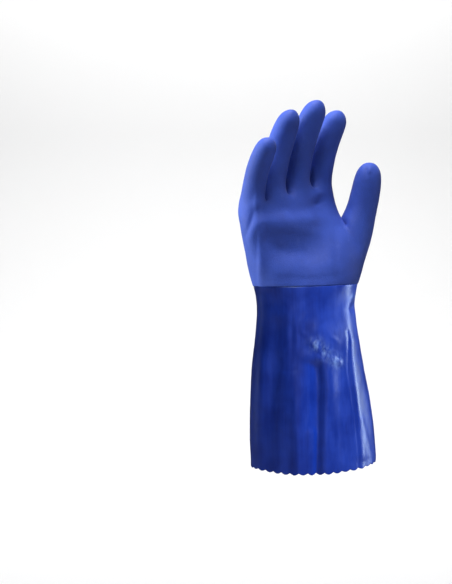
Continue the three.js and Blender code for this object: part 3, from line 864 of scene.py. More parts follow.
def relief(folds: Iterable[Fold], points: np.ndarray, normals: np.ndarray, sizes: Relief) -> np.ndarray:
    """Works out how far folds lift a surface.

    Args:
        folds: the folds of one part.
        points: points of the surface, in mm.
        normals: unit normals at these points.
        sizes: sizes of the part that the folds' shares refer to.

    Returns:
        The height at each point, in mm.
    """
    spots = points[:, [0, 2]]
    total = np.zeros(len(points))
    for fold in folds:
        places = [(right * sizes.width, sizes.base + up * sizes.length) for right, up in fold.line]
        line = np.array(places)
        steps = np.diff(line, axis=0)
        lengths = np.linalg.norm(steps, axis=1)
        passed = np.concatenate(([0.0], np.cumsum(lengths)))
        away = np.full(len(points), np.inf)
        lateral = np.zeros(len(points))
        share = np.zeros(len(points))
        for k, (start, step) in enumerate(zip(line, steps)):
            here = spots - start
            along = np.clip(here @ step / lengths[k] ** 2, 0, 1)
            gap = here - along[:, None] * step
            distance = np.hypot(gap[:, 0], gap[:, 1])
            nearer = distance < away
            away = np.where(nearer, distance, away)
            right_of = (gap[:, 0] * step[1] - gap[:, 1] * step[0]) / lengths[k]
            lateral = np.where(nearer, right_of, lateral)
            share = np.where(nearer, (passed[k] + along * lengths[k]) / passed[-1], share)
        spread = fold.reach * sizes.width * (1 + fold.skew * lateral / np.maximum(away, NEARLY_ZERO))
        facing = normals @ palmar(sizes.turn if fold.turn is None else fold.turn)
        fade = np.clip(fold.side * facing / RELIEF_FADE, 0, 1)
        fade = fade**2 * (3 - 2 * fade)
        height = fold.out * sizes.thickness * (1 - fold.taper * (2 * share - 1) ** 2)
        total += height * fade * np.exp(-((away / spread) ** 2))
    return total


def wave_phases(
    points: np.ndarray, wavelength: float, shares: tuple[float, float], period: float, seed: int
) -> Iterator[np.ndarray]:
    """Sends waves through points in random directions.

    Args:
        points: the points, in mm.
        wavelength: usual length of a wave, in mm.
        shares: shortest and longest wave, as shares of it.
        period: the phase after which a wave repeats.
        seed: seed of the directions, lengths and starts.

    Yields:
        For each wave its phase at every point.
    """
    rng = np.random.default_rng(seed)
    for _ in range(WAVES):
        heading = rng.normal(size=3)
        heading /= np.linalg.norm(heading)
        rate = period / (wavelength * rng.uniform(*shares))
        yield points @ heading * rate + rng.uniform(0, period)


def waviness(points: np.ndarray, ripples: Ripples) -> np.ndarray:
    """Works out the soft unevenness of a dipped coat.

    Args:
        points: points of the surface, in mm.
        ripples: size and seed of the unevenness.

    Returns:
        The height at each point, in mm.
    """
    phases = wave_phases(points, ripples.wavelength, RIPPLE_SPREAD, 2 * math.pi, ripples.seed)
    return sum(np.sin(phase) for phase in phases) * ripples.height / math.sqrt(WAVES)


def crumple(points: np.ndarray, normals: np.ndarray) -> tuple[np.ndarray, np.ndarray]:
    """Works out where the cuff has been crumpled into small broken facets.

    Args:
        points: points of the surface, in mm.
        normals: unit normals at these points.

    Returns:
        How crumpled each point is, from 0 to 1, and its height in mm.
    """
    phases = wave_phases(points, CRUMPLES.wavelength, CRUMPLE_SPREAD, math.pi, CRUMPLES.seed)
    mean = 2 / math.pi
    facets = sum(np.abs(np.sin(phase)) - mean for phase in phases)
    mask = np.zeros(len(points))
    for right, up, reach in CRUMPLES.spots:
        spot = np.array((right * CUFF.hem_width, up * CUFF.length))
        away = np.linalg.norm(points[:, [0, 2]] - spot, axis=1)
        mask = np.maximum(mask, np.exp(-((away / (reach * CUFF.hem_width)) ** 2)))
    mask *= np.clip(normals @ palmar(CUFF.wrist_turn) / RELIEF_FADE, 0, 1)
    return mask, facets * mask * CRUMPLES.height / math.sqrt(WAVES)


def mesh_from(name: str, points: np.ndarray, faces: Iterable[tuple[int, ...]]) -> bpy.types.Mesh:
    """Makes a mesh.

    Args:
        name: its name.
        points: its points, in mm.
        faces: the numbers of each face's corners.

    Returns:
        The mesh.
    """
    mesh = bpy.data.meshes.new(name)
    mesh.from_pydata((np.asarray(points) * MM).tolist(), [], [tuple(int(i) for i in f) for f in faces])
    return mesh


def baked(obj: bpy.types.Object) -> bpy.types.Mesh:
    """Turns an object into the mesh that its modifiers make.

    Args:
        obj: the object, which is removed with its own mesh.

    Returns:
        The new mesh.
    """
    depsgraph = bpy.context.evaluated_depsgraph_get()
    mesh = bpy.data.meshes.new_from_object(obj.evaluated_get(depsgraph))
    source = obj.data
    bpy.data.objects.remove(obj)
    bpy.data.meshes.remove(source)
    return mesh


def placed(name: str, mesh: bpy.types.Mesh) -> bpy.types.Object:
    """Puts a mesh into the scene.

    Args:
        name: the object's name.
        mesh: its mesh.

    Returns:
        The object, at the origin.
    """
    obj = bpy.data.objects.new(name, mesh)
    bpy.context.scene.collection.objects.link(obj)
    return obj


def positions(mesh: bpy.types.Mesh) -> np.ndarray:
    """Reads the points of a mesh.

    Args:
        mesh: the mesh.

    Returns:
        Its points, in mm.
    """
    spots = np.empty(len(mesh.vertices) * 3)
    mesh.vertices.foreach_get("co", spots)
    return spots.reshape(-1, 3) / MM


def rim_edges(faces: np.ndarray) -> np.ndarray:
    """Finds the open edges of some faces.

    Args:
        faces: four-sided faces.

    Returns:
        The edges that only one of the faces has, in that face's direction.
    """
    edges = np.concatenate([faces[:, [k, (k + 1) % 4]] for k in range(4)])
    size = int(edges.max()) + 1
    ahead = edges[:, 0].astype(np.int64) * size + edges[:, 1]
    behind = edges[:, 1].astype(np.int64) * size + edges[:, 0]
    return edges[~np.isin(ahead, behind)]


def loops_of(edges: np.ndarray) -> list[list[int]]:
    """Follows edges head to tail.

    Args:
        edges: pairs of points' numbers.

    Returns:
        The closed loops that they make.
    """
    after = {int(a): int(b) for a, b in edges}
    loops = []
    while after:
        first, here = next(iter(after.items()))
        del after[first]
        loop = [first]
        while here != first:
            loop.append(here)
            here = after.pop(here)
        loops.append(loop)
    return loops


class GloveSurface:
    """The glove's outer surface with its folds, at one level of smoothing.

    The faces of the cuff are all in cuff. Those of the hand are in lap, where its coat covers the
    gauntlet over half a row of the cage, and in bare, the rest.
    """

    def __init__(self, cage: GloveCage, level: int) -> None:
        """Smooths the cage and raises its folds.

        Args:
            cage: the glove's cage.
            level: how many times each of its faces is divided.
        """
        mesh = mesh_from("cage", np.array(cage.points), cage.faces)
        mesh.polygons.foreach_set("material_index", cage.parts)
        obj = placed("cage", mesh)
        smoothing = obj.modifiers.new("smoothing", "SUBSURF")
        smoothing.levels = smoothing.render_levels = level
        smoothing.use_limit_surface = True
        smooth = baked(obj)
        self.faces = np.empty(len(smooth.loops), int)
        smooth.loops.foreach_get("vertex_index", self.faces)
        self.faces = self.faces.reshape(-1, 4)
        self.parts = np.empty(len(smooth.polygons), int)
        smooth.polygons.foreach_get("material_index", self.parts)
        flat = positions(smooth)
        bpy.data.meshes.remove(smooth)
        normals = vertex_normals(flat, self.faces)
        height = relief(PALM_FOLDS.values(), flat, normals, PALM_FRAME)
        height += relief(CUFF_FOLDS.values(), flat, normals, CUFF_FRAME)
        self.crumpled, facets = crumple(flat, normals)
        height += sum(waviness(flat, ripples) for ripples in RIPPLES) + facets
        self.points = flat + normals * height[:, None]
        self.normals = vertex_normals(self.points, self.faces)
        self.cuff = self.faces[self.parts == Part.CUFF.value]
        hand = self.faces[self.parts == Part.HAND.value]
        half_row = 2 ** (level - 1)
        rows = self.rows_above_dip(hand, half_row)
        is_lap = (rows[hand] >= 0).all(axis=1)
        self.lap, self.bare = hand[is_lap], hand[~is_lap]

    def rows_above_dip(self, hand: np.ndarray, count: int) -> np.ndarray:
        """Numbers the hand's rows of points above the edge of its coat.

        Args:
            hand: the hand's faces.
            count: how many rows are numbered, after the edge itself.

        Returns:
            The row of each of the surface's points, and -1 for those above or beside them.
        """
        rows = np.full(len(self.points), -1)
        rows[rim_edges(hand).ravel()] = 0
        edges = np.concatenate([hand[:, [k, (k + 1) % 4]] for k in range(4)])
        for row in range(count):
            near = rows[edges] == row
            reached = np.concatenate([edges[near[:, 0], 1], edges[near[:, 1], 0]])
            rows[reached[rows[reached] < 0]] = row + 1
        return rows

    def at(self, numbers: list[int] | np.ndarray, height: Height, slide: float = 0.0) -> np.ndarray:
        """Returns points at a height over the surface, moved up the glove by slide."""
        heights = np.broadcast_to(np.asarray(height, float), (len(numbers),))
        return self.points[numbers] + self.normals[numbers] * heights[:, None] + UP * slide


class Wall:
    """A closed wall, put together from sheets and from the bands that join their rims."""

    def __init__(self) -> None:
        """Starts an empty wall."""
        self.points: list[np.ndarray] = []
        self.faces: list[tuple[int, ...]] = []
        self.count = 0

    def add(self, points: np.ndarray) -> list[int]:
        """Adds points to the wall.

        Args:
            points: the points, in mm.

        Returns:
            Their numbers.
        """
        self.points.append(np.asarray(points))
        self.count += len(points)
        return list(range(self.count - len(points), self.count))

    def sheet(
        self,
        surface: GloveSurface,
        faces: np.ndarray,
        height: float,
        inside: bool = False,
        moved: np.ndarray | None = None,
    ) -> np.ndarray:
        """Lays a sheet over the surface.

        Args:
            surface: the surface that it follows.
            faces: the surface's faces that it covers.
            height: its height over the surface, in mm.
            inside: whether it faces the hand that wears the glove.
            moved: how far each of the surface's points is moved up the glove, in mm.

        Returns:
            The wall's number for each of the surface's points, and -1 where the sheet doesn't reach.
        """
        used = np.unique(faces)
        spots = surface.at(used, height)
        if moved is not None:
            spots = spots + np.outer(moved[used], UP)
        numbers = np.full(len(surface.points), -1)
        numbers[used] = self.add(spots)
        corners = numbers[faces]
        self.faces += map(tuple, (corners[:, ::-1] if inside else corners).tolist())
        return numbers

    def where(self, numbers: list[int]) -> np.ndarray:
        """Returns the places of some of the wall's points."""
        return np.concatenate(self.points)[numbers]

    def band(self, upper: list[int], lower: list[int]) -> None:
        """Joins two loops that run the same way.

        Args:
            upper: numbers of the first loop, the rim of a sheet or of another band.
            lower: numbers of the second.
        """
        high, low = self.where(upper), self.where(lower)
        shift = int(np.argmin(np.linalg.norm(low - high[0], axis=1)))
        lower, low = lower[shift:] + lower[:shift], np.roll(low, -shift, axis=0)
        if len(upper) == len(lower):
            for k in range(len(upper)):
                after = (k + 1) % len(upper)
                self.faces.append((upper[after], upper[k], lower[k], lower[after]))
            return
        high_shares, low_shares = girth_shares(high), girth_shares(low)
        k = j = 0
        while k < len(upper) or j < len(lower):
            here, there = upper[k % len(upper)], lower[j % len(lower)]
            if j < len(lower) and (k == len(upper) or low_shares[j + 1] <= high_shares[k + 1]):
                j += 1
                self.faces.append((here, there, lower[j % len(lower)]))
            else:
                k += 1
                self.faces.append((upper[k % len(upper)], here, there))

    def build(self, name: str) -> bpy.types.Mesh:
        """Makes the wall's mesh.

        Args:
            name: the mesh's name.

        Returns:
            The mesh, smooth-shaded.
        """
        mesh = mesh_from(name, np.concatenate(self.points), self.faces)
        mesh.polygons.foreach_set("use_smooth", [True] * len(mesh.polygons))
        mesh.update()
        return mesh


def girth_shares(loop: np.ndarray) -> np.ndarray:
    """Returns how far round a closed loop each of its points is, from 0 to 1 at its start again."""
    lengths = np.linalg.norm(np.roll(loop, -1, axis=0) - loop, axis=1)
    return np.concatenate(([0.0], np.cumsum(lengths))) / lengths.sum()


def along_loop(loop: np.ndarray, shares: np.ndarray) -> np.ndarray:
    """Finds points on a closed loop.

    Args:
        loop: the loop's own points, in mm.
        shares: how far round each point is, from 0 to 1.

    Returns:
        The points, in mm.
    """
    marks = girth_shares(loop)
    closed = np.vstack([loop, loop[:1]])
    return np.stack([np.interp(shares, marks, closed[:, k]) for k in range(3)], axis=1)


def rims(surface: GloveSurface, faces: np.ndarray) -> list[list[int]]:
    """Returns the closed rims of some of the surface's faces, the lowest first."""
    return sorted(loops_of(rim_edges(faces)), key=lambda loop: surface.points[loop, 2].mean())


class Nodes:
    """Puts a node tree together."""

    def __init__(self, tree: bpy.types.NodeTree) -> None:
        """Starts on an empty tree."""
        self.tree = tree
        tree.nodes.clear()

    def add(self, kind: str, inputs: dict | None = None, **settings: object) -> bpy.types.Node:
        """Adds a node.

        Args:
            kind: the node's type.
            inputs: for its sockets, by name or number, a value or another node's output.
            settings: the node's own settings.

        Returns:
            The node.
        """
        node = self.tree.nodes.new(kind)
        for name, value in settings.items():
            setattr(node, name, value)
        for socket, value in (inputs or {}).items():
            if isinstance(value, bpy.types.NodeSocket):
                self.tree.links.new(value, node.inputs[socket])
            else:
                node.inputs[socket].default_value = value
        return node

    def math(self, operation: str, *values: Value, clamp: bool = False) -> bpy.types.NodeSocket:
        """Adds a sum on numbers and returns its result."""
        node = self.add("ShaderNodeMath", dict(enumerate(values)), operation=operation, use_clamp=clamp)
        return node.outputs[0]

    def blend_sum(self, *terms: tuple[Value, float], clamp: bool = False) -> bpy.types.NodeSocket:
        """Adds up values times their shares.

        Args:
            terms: each value with its share.
            clamp: whether the result stays between 0 and 1.

        Returns:
            The result.
        """
        total = self.math("MULTIPLY", *terms[0])
        for i, term in enumerate(terms[1:], 2):
            total = self.math("ADD", total, self.math("MULTIPLY", *term), clamp=clamp and i == len(terms))
        return total

    def stretched(self, vector: bpy.types.NodeSocket, up: float) -> bpy.types.NodeSocket:
        """Scales a vector up the glove by a factor, which draws out a texture if it is below 1."""
        node = self.add("ShaderNodeVectorMath", {0: vector, 1: (1.0, 1.0, up)}, operation="MULTIPLY")
        return node.outputs[0]

    def spread(
        self, value: Value, low: float, high: float, to_low: float = 0.0, to_high: float = 1.0
    ) -> bpy.types.NodeSocket:
        """Maps a range of a value smoothly to another range and returns the result."""
        inputs = {"Value": value, "From Min": low, "From Max": high, "To Min": to_low, "To Max": to_high}
        return self.add("ShaderNodeMapRange", inputs, interpolation_type="SMOOTHSTEP").outputs[0]

    def noise(
        self, vector: bpy.types.NodeSocket, scale: Value, detail: float, roughness: float
    ) -> bpy.types.NodeSocket:
        """Adds a noise texture and returns its value."""
        inputs = {"Vector": vector, "Scale": scale, "Detail": detail, "Roughness": roughness}
        return self.add("ShaderNodeTexNoise", inputs).outputs["Fac"]

    def blend(
        self, share: Value, first: bpy.types.NodeSocket | Colour, second: bpy.types.NodeSocket | Colour
    ) -> bpy.types.NodeSocket:
        """Blends two colours.

        Args:
            share: share of the second.
            first: the first colour.
            second: the second colour.

        Returns:
            The blended colour.
        """
        node = self.add("ShaderNodeMix", {"Factor": share}, data_type="RGBA")
        for socket, value in (("A", first), ("B", second)):
            target = next(s for s in node.inputs if s.name == socket and s.type == "RGBA")
            if isinstance(value, bpy.types.NodeSocket):
                self.tree.links.new(value, target)
            else:
                target.default_value = value
        return next(s for s in node.outputs if s.type == "RGBA")


def group_tree(name: str, kind: str, inputs: dict, outputs: dict) -> tuple[bpy.types.NodeTree, Nodes]:
    """Starts a node group.

    Args:
        name: the group's name.
        kind: the type of its tree.
        inputs: for each input its socket type and its first value, or None.
        outputs: for each output its socket type.

    Returns:
        The tree, and the helper that fills it.
    """
    tree = bpy.data.node_groups.new(name, kind)
    for label, (socket_type, value) in inputs.items():
        socket = tree.interface.new_socket(label, in_out="INPUT", socket_type=socket_type)
        if value is not None:
            socket.default_value = value
    for label, socket_type in outputs.items():
        tree.interface.new_socket(label, in_out="OUTPUT", socket_type=socket_type)
    return tree, Nodes(tree)


@dataclass
class PinkedHem:
    """The strip below the cuff's rim, whose lower edge is pinked into rounded teeth.

    outer and inner are the points round the cuff's outer and inner rim, in mm.
    """

    outer: np.ndarray
    inner: np.ndarray
    sizes: HemSizes = HEM

    def __post_init__(self) -> None:
        """Divides the strip into a whole number of teeth."""
        girth = np.linalg.norm(np.roll(self.outer, -1, axis=0) - self.outer, axis=1).sum()
        self.teeth = round(girth / self.sizes.pitch)
        self.columns = self.teeth * self.sizes.steps
        self.around = np.arange(self.columns) / self.columns

    def tree(self) -> bpy.types.NodeTree:
        """Makes the nodes that let the strip hang down and cut its teeth.

        Returns:
            The tree, whose inputs are the sizes of the hem.
        """
        inputs = {
            "Geometry": ("NodeSocketGeometry", None),
            "Teeth": ("NodeSocketFloat", 1.0),
            "Margin": ("NodeSocketFloat", 0.0),
            "Depth": ("NodeSocketFloat", 0.0),
            "Unevenness": ("NodeSocketFloat", 0.0),
            "Seed": ("NodeSocketInt", 0),
            "Material": ("NodeSocketMaterial", None),
        }
        tree, nodes = group_tree("pinked hem", "GeometryNodeTree", inputs, {"Geometry": "NodeSocketGeometry"})
        start = nodes.add("NodeGroupInput").outputs
        around, drop = (
            nodes.add("GeometryNodeInputNamedAttribute", {"Name": name}, data_type="FLOAT").outputs[0]
            for name in ("around", "drop")
        )
        turns = nodes.math("MULTIPLY", around, start["Teeth"])
        tooth = nodes.add(
            "FunctionNodeRandomValue",
            {
                2: nodes.math("MULTIPLY", start["Unevenness"], -1.0),
                3: start["Unevenness"],
                "ID": nodes.math("FLOOR", turns),
                "Seed": start["Seed"],
            },
            data_type="FLOAT",
        ).outputs[1]
        wave = nodes.math("ABSOLUTE", nodes.math("SINE", nodes.math("MULTIPLY", turns, math.pi)))
        even = nodes.math("MULTIPLY", wave, start["Depth"])
        cut = nodes.math("MULTIPLY", even, nodes.math("ADD", tooth, 1.0))
        reach = nodes.math("MULTIPLY", nodes.math("ADD", cut, start["Margin"]), drop)
        fall = nodes.math("MULTIPLY", reach, -1.0)
        offset = nodes.add("ShaderNodeCombineXYZ", {"Z": fall}).outputs[0]
        hanging = {"Geometry": start["Geometry"], "Offset": offset}
        hung = nodes.add("GeometryNodeSetPosition", hanging).outputs[0]
        real = nodes.add("GeometryNodeRealizeInstances", {"Geometry": hung}).outputs[0]
        painting = {"Geometry": real, "Material": start["Material"]}
        painted = nodes.add("GeometryNodeSetMaterial", painting).outputs[0]
        nodes.add("NodeGroupOutput", {"Geometry": painted})
        return tree

    def build(self, material: bpy.types.Material) -> tuple[bpy.types.Mesh, int]:
        """Bakes the strip.

        Args:
            material: its material.

        Returns:
            Its mesh, and the number of points in each of its rows.
        """
        outer, inner = (along_loop(loop, self.around) for loop in (self.outer, self.inner))
        rows = [outer + (inner - outer) * through for _, through in HEM_PROFILE]
        count = self.columns
        faces = []
        for row in range(len(rows) - 1):
            for j in range(count):
                after = (j + 1) % count
                here, below = row * count, (row + 1) * count
                faces.append((here + after, here + j, below + j, below + after))
        mesh = mesh_from("hem", np.concatenate(rows), faces)
        drops = [down for down, _ in HEM_PROFILE]
        values = {"around": np.tile(self.around, len(rows)), "drop": np.repeat(drops, count)}
        for name, data in values.items():
            mesh.attributes.new(name, "FLOAT", "POINT").data.foreach_set("value", data)
        obj = placed("hem", mesh)
        modifier = obj.modifiers.new("teeth", "NODES")
        modifier.node_group = self.tree()
        settings = {
            "Teeth": float(self.teeth),
            "Margin": self.sizes.margin * MM,
            "Depth": self.sizes.depth * MM,
            "Unevenness": self.sizes.unevenness,
            "Seed": self.sizes.seed,
            "Material": material,
        }
        for item in modifier.node_group.interface.items_tree:
            if item.in_out == "INPUT" and item.name in settings:
                modifier[item.identifier] = settings[item.name]
        obj.update_tag()
        bpy.context.view_layer.update()
        return baked(obj), count


@dataclass
class Gauntlet:
    """The smooth, glossy cuff, whose top is tucked behind the hand's coat.

    fine and coarse are the surface at the levels of its outside and of its inside.
    """

    fine: GloveSurface
    coarse: GloveSurface
    material: bpy.types.Material
    cuff: CuffSizes = CUFF
    coat: CoatSizes = COAT
    hem: HemSizes = HEM
    name: str = "gauntlet_coat"

    def build(self) -> bpy.types.Object:
        """Builds the gauntlet with its hem.

        Returns:
            The finished piece.
        """
        wall, fine, coarse, gap = Wall(), self.fine, self.coarse, self.coat.gap
        hem_loop, dip_loop = rims(fine, fine.cuff)
        top_loop = rims(fine, fine.lap)[-1]
        slide = np.zeros(len(fine.points))
        slide[top_loop] = -gap
        outside = wall.sheet(fine, fine.cuff, 0)
        tongue = wall.sheet(fine, fine.lap, self.coat.step - self.coat.skirt - gap, moved=slide)
        covered = np.concatenate([coarse.cuff, coarse.lap])
        inner_hem, inner_top = rims(coarse, covered)
        inner_slide = np.zeros(len(coarse.points))
        inner_slide[inner_top] = -gap
        inside = wall.sheet(coarse, covered, -self.cuff.wall, inside=True, moved=inner_slide)
        wall.band(outside[dip_loop].tolist(), tongue[dip_loop].tolist())
        wall.band(tongue[top_loop].tolist(), inside[inner_top].tolist())
        hem = PinkedHem(fine.at(hem_loop, 0), coarse.at(inner_hem, -self.cuff.wall), self.hem)
        strip, count = hem.build(self.material)
        numbers = wall.add(positions(strip))
        wall.faces += [tuple(numbers[v] for v in p.vertices) for p in strip.polygons]
        wall.band(outside[hem_loop].tolist(), numbers[:count])
        wall.band(numbers[-count:], inside[inner_hem].tolist())
        mesh = wall.build(self.name)
        mesh.materials.append(strip.materials[0])
        bpy.data.meshes.remove(strip)
        self.mark_crumples(mesh, outside)
        return placed(self.name, mesh)

    def mark_crumples(self, mesh: bpy.types.Mesh, outside: np.ndarray) -> None:
        """Writes how crumpled each point is to an attribute, which the material reads.

        Args:
            mesh: the gauntlet's mesh.
            outside: the mesh's number for each of the surface's points on its outside.
        """
        crumpled = np.zeros(len(mesh.vertices))
        covered = np.unique(self.fine.cuff)
        crumpled[outside[covered]] = self.fine.crumpled[covered]
        mesh.attributes.new(CRUMPLED, "FLOAT", "POINT").data.foreach_set("value", crumpled)


@dataclass
class HandCoat:
    """The matt, sandy coat of the hand, with its four fingers and thumb."""

    surface: GloveSurface
    material: bpy.types.Material
    coat: CoatSizes = COAT
    name: str = "hand_coat"

    def build(self) -> bpy.types.Object:
        """Builds the coat.

        Returns:
            The finished piece.
        """
        wall, surface, coat = Wall(), self.surface, self.coat
        dip_loop, top_loop = rims(surface, surface.lap)
        slide = np.zeros(len(surface.points))
        slide[dip_loop] = COAT_START
        outside = wall.sheet(surface, np.concatenate([surface.lap, surface.bare]), coat.step, moved=slide)
        slide[dip_loop] = coat.gap
        skirt = wall.sheet(surface, surface.lap, coat.step - coat.skirt, inside=True, moved=slide)
        inside = wall.sheet(surface, surface.bare, coat.step - coat.wall, inside=True)
        upper = outside[dip_loop].tolist()
        for height, up in COAT_EDGE:
            lower = wall.add(surface.at(dip_loop, height, up))
            wall.band(upper, lower)
            upper = lower
        wall.band(upper, skirt[dip_loop].tolist())
        bare_loop = rims(surface, surface.bare)[0]
        wall.band(skirt[bare_loop].tolist(), inside[bare_loop].tolist())
        mesh = wall.build(self.name)
        mesh.materials.append(self.material)
        return placed(self.name, mesh)


@dataclass(frozen=True)
class Finish:
    """The look of one coat.

    Its colours run from deep to light, with worn where it is scuffed and a painted highlight colour where it
    is crumpled.
    Its roughness runs from smoothest to roughest. bump is the strength of its relief, which is up to
    bump_height m high. index is its index of refraction, and scuffed and sheen say how much scuffs and
    sheen show.
    """

    deep: Colour
    light: Colour
    worn: Colour
    painted_highlight: Colour
    smoothest: float
    roughest: float
    bump: float
    bump_height: float
    index: float
    scuffed: float
    sheen: float


HAND_FINISH = Finish(
    deep=(0.024, 0.062, 0.38, 1),
    light=(0.034, 0.086, 0.5, 1),
    worn=(0.07, 0.13, 0.52, 1),
    # Painted highlight colour for crumples; the hand's coat has no crumples marked, so it never shows
    painted_highlight=(0.17, 0.29, 0.7, 1),
    smoothest=0.6,
    roughest=0.85,
    bump=0.8,
    bump_height=0.0003,
    index=1.4,
    scuffed=0.4,
    sheen=0.07,
)
CUFF_FINISH = Finish(
    deep=(0.002, 0.019, 0.24, 1),
    light=(0.004, 0.038, 0.4, 1),
    worn=(0.03, 0.08, 0.44, 1),
    # Painted highlight colour, laid on the crumples in place of the glints of the gloss
    painted_highlight=(0.17, 0.29, 0.7, 1),
    smoothest=0.28,
    roughest=0.5,
    bump=0.3,
    bump_height=0.0006,
    index=1.5,
    scuffed=0.12,
    sheen=0.0,
)
# Shares of the clouds, of the speckle or gloss and of the scuffs, in the colour of a coat and in its
# roughness
COLOUR_SHARES = (0.6, 0.4)
ROUGHNESS_SHARES = (0.4, 0.35, 0.8)


@dataclass
class Effects:
    """The node groups that the glove's materials share.

    grains, peel and clouds are the scales of the sand, of the orange peel and of the clouds, from small
    features at a high scale to broad ones. whitest is how strong the highlight painted on a crumple can be.
    """

    grains: float = 1100.0
    peel: float = 420.0
    clouds: float = 38.0
    whitest: float = 0.8

    def __post_init__(self) -> None:
        """Makes the groups."""
        self.grain = self.sandy_grain()
        self.runs = self.dip_runs()
        self.wear = self.handling_wear()
        self.crumple_highlight = self.painted_crumple_highlight()

    def sandy_grain(self) -> bpy.types.NodeTree:
        """Makes the fine sand of a matt coat.

        Returns:
            The group, which gives a height and a speckle from grains of two sizes.
        """
        inputs = {"Vector": ("NodeSocketVector", None), "Grains": ("NodeSocketFloat", self.grains)}
        outputs = {"Height": "NodeSocketFloat", "Speckle": "NodeSocketFloat"}
        tree, nodes = group_tree("sandy grain", "ShaderNodeTree", inputs, outputs)
        start = nodes.add("NodeGroupInput").outputs
        place, grains = start["Vector"], start["Grains"]
        fine = nodes.noise(place, scale=grains, detail=3.0, roughness=0.7)
        larger = nodes.math("MULTIPLY", grains, 0.42)
        coarse = nodes.noise(place, scale=larger, detail=2.0, roughness=0.55)
        cells = nodes.add("ShaderNodeTexVoronoi", {"Vector": place, "Scale": grains}).outputs[0]
        pits = nodes.spread(cells, low=0.1, high=0.75, to_low=1.0, to_high=0.0)
        height = nodes.blend_sum((fine, 0.5), (coarse, 0.5), (pits, 0.35))
        nodes.add("NodeGroupOutput", {"Height": height, "Speckle": nodes.spread(fine, low=0.42, high=0.66)})
        return tree

    def dip_runs(self) -> bpy.types.NodeTree:
        """Makes the long soft runs and the orange peel that dipping leaves on a smooth coat.

        Returns:
            The group, which gives a height and how the gloss varies.
        """
        inputs = {"Vector": ("NodeSocketVector", None), "Peel": ("NodeSocketFloat", self.peel)}
        outputs = {"Height": "NodeSocketFloat", "Gloss": "NodeSocketFloat"}
        tree, nodes = group_tree("dip runs", "ShaderNodeTree", inputs, outputs)
        start = nodes.add("NodeGroupInput").outputs
        place = start["Vector"]
        runs = nodes.noise(nodes.stretched(place, up=0.16), scale=85.0, detail=2.0, roughness=0.45)
        streaks = nodes.noise(nodes.stretched(place, up=0.06), scale=420.0, detail=3.0, roughness=0.6)
        peel = nodes.noise(place, scale=start["Peel"], detail=1.0, roughness=0.4)
        height = nodes.blend_sum((runs, 0.8), (peel, 0.12), (streaks, 0.3))
        gloss = nodes.blend_sum((runs, 0.5), (streaks, 0.5))
        nodes.add("NodeGroupOutput", {"Height": height, "Gloss": nodes.spread(gloss, low=0.36, high=0.64)})
        return tree

    def handling_wear(self) -> bpy.types.NodeTree:
        """Makes the marks of storing and handling.

        Returns:
            The group, which gives broad clouds for a coat's colour, and sparse small scuffs.
        """
        inputs = {"Vector": ("NodeSocketVector", None), "Clouds": ("NodeSocketFloat", self.clouds)}
        outputs = {"Mottle": "NodeSocketFloat", "Scuffs": "NodeSocketFloat"}
        tree, nodes = group_tree("handling wear", "ShaderNodeTree", inputs, outputs)
        start = nodes.add("NodeGroupInput").outputs
        place = start["Vector"]
        clouds = nodes.noise(place, scale=start["Clouds"], detail=4.0, roughness=0.55)
        marks = nodes.noise(nodes.stretched(place, up=0.45), scale=230.0, detail=2.0, roughness=0.5)
        places = nodes.noise(place, scale=26.0, detail=2.0, roughness=0.5)
        marks, places = nodes.spread(marks, low=0.5, high=0.78), nodes.spread(places, low=0.5, high=0.66)
        scuffs = nodes.math("MULTIPLY", marks, places)
        nodes.add("NodeGroupOutput", {"Mottle": nodes.spread(clouds, low=0.3, high=0.7), "Scuffs": scuffs})
        return tree

    def painted_crumple_highlight(self) -> bpy.types.NodeTree:
        """Makes the painted highlight on crumpled PVC: pale streaks blended into its colour.

        Returns:
            The group, which gives how much painted highlight each place gets from how crumpled it is.
        """
        inputs = {"Vector": ("NodeSocketVector", None), "Crumpled": ("NodeSocketFloat", 0.0)}
        tree, nodes = group_tree("painted crumple highlight", "ShaderNodeTree", inputs, {"White": "NodeSocketFloat"})
        start = nodes.add("NodeGroupInput").outputs
        place = nodes.stretched(start["Vector"], up=0.5)
        streaks = nodes.noise(place, scale=230.0, detail=3.0, roughness=0.6)
        marked = nodes.math("MULTIPLY", start["Crumpled"], nodes.spread(streaks, low=0.36, high=0.7))
        nodes.add("NodeGroupOutput", {"White": nodes.math("MULTIPLY", marked, self.whitest)})
        return tree


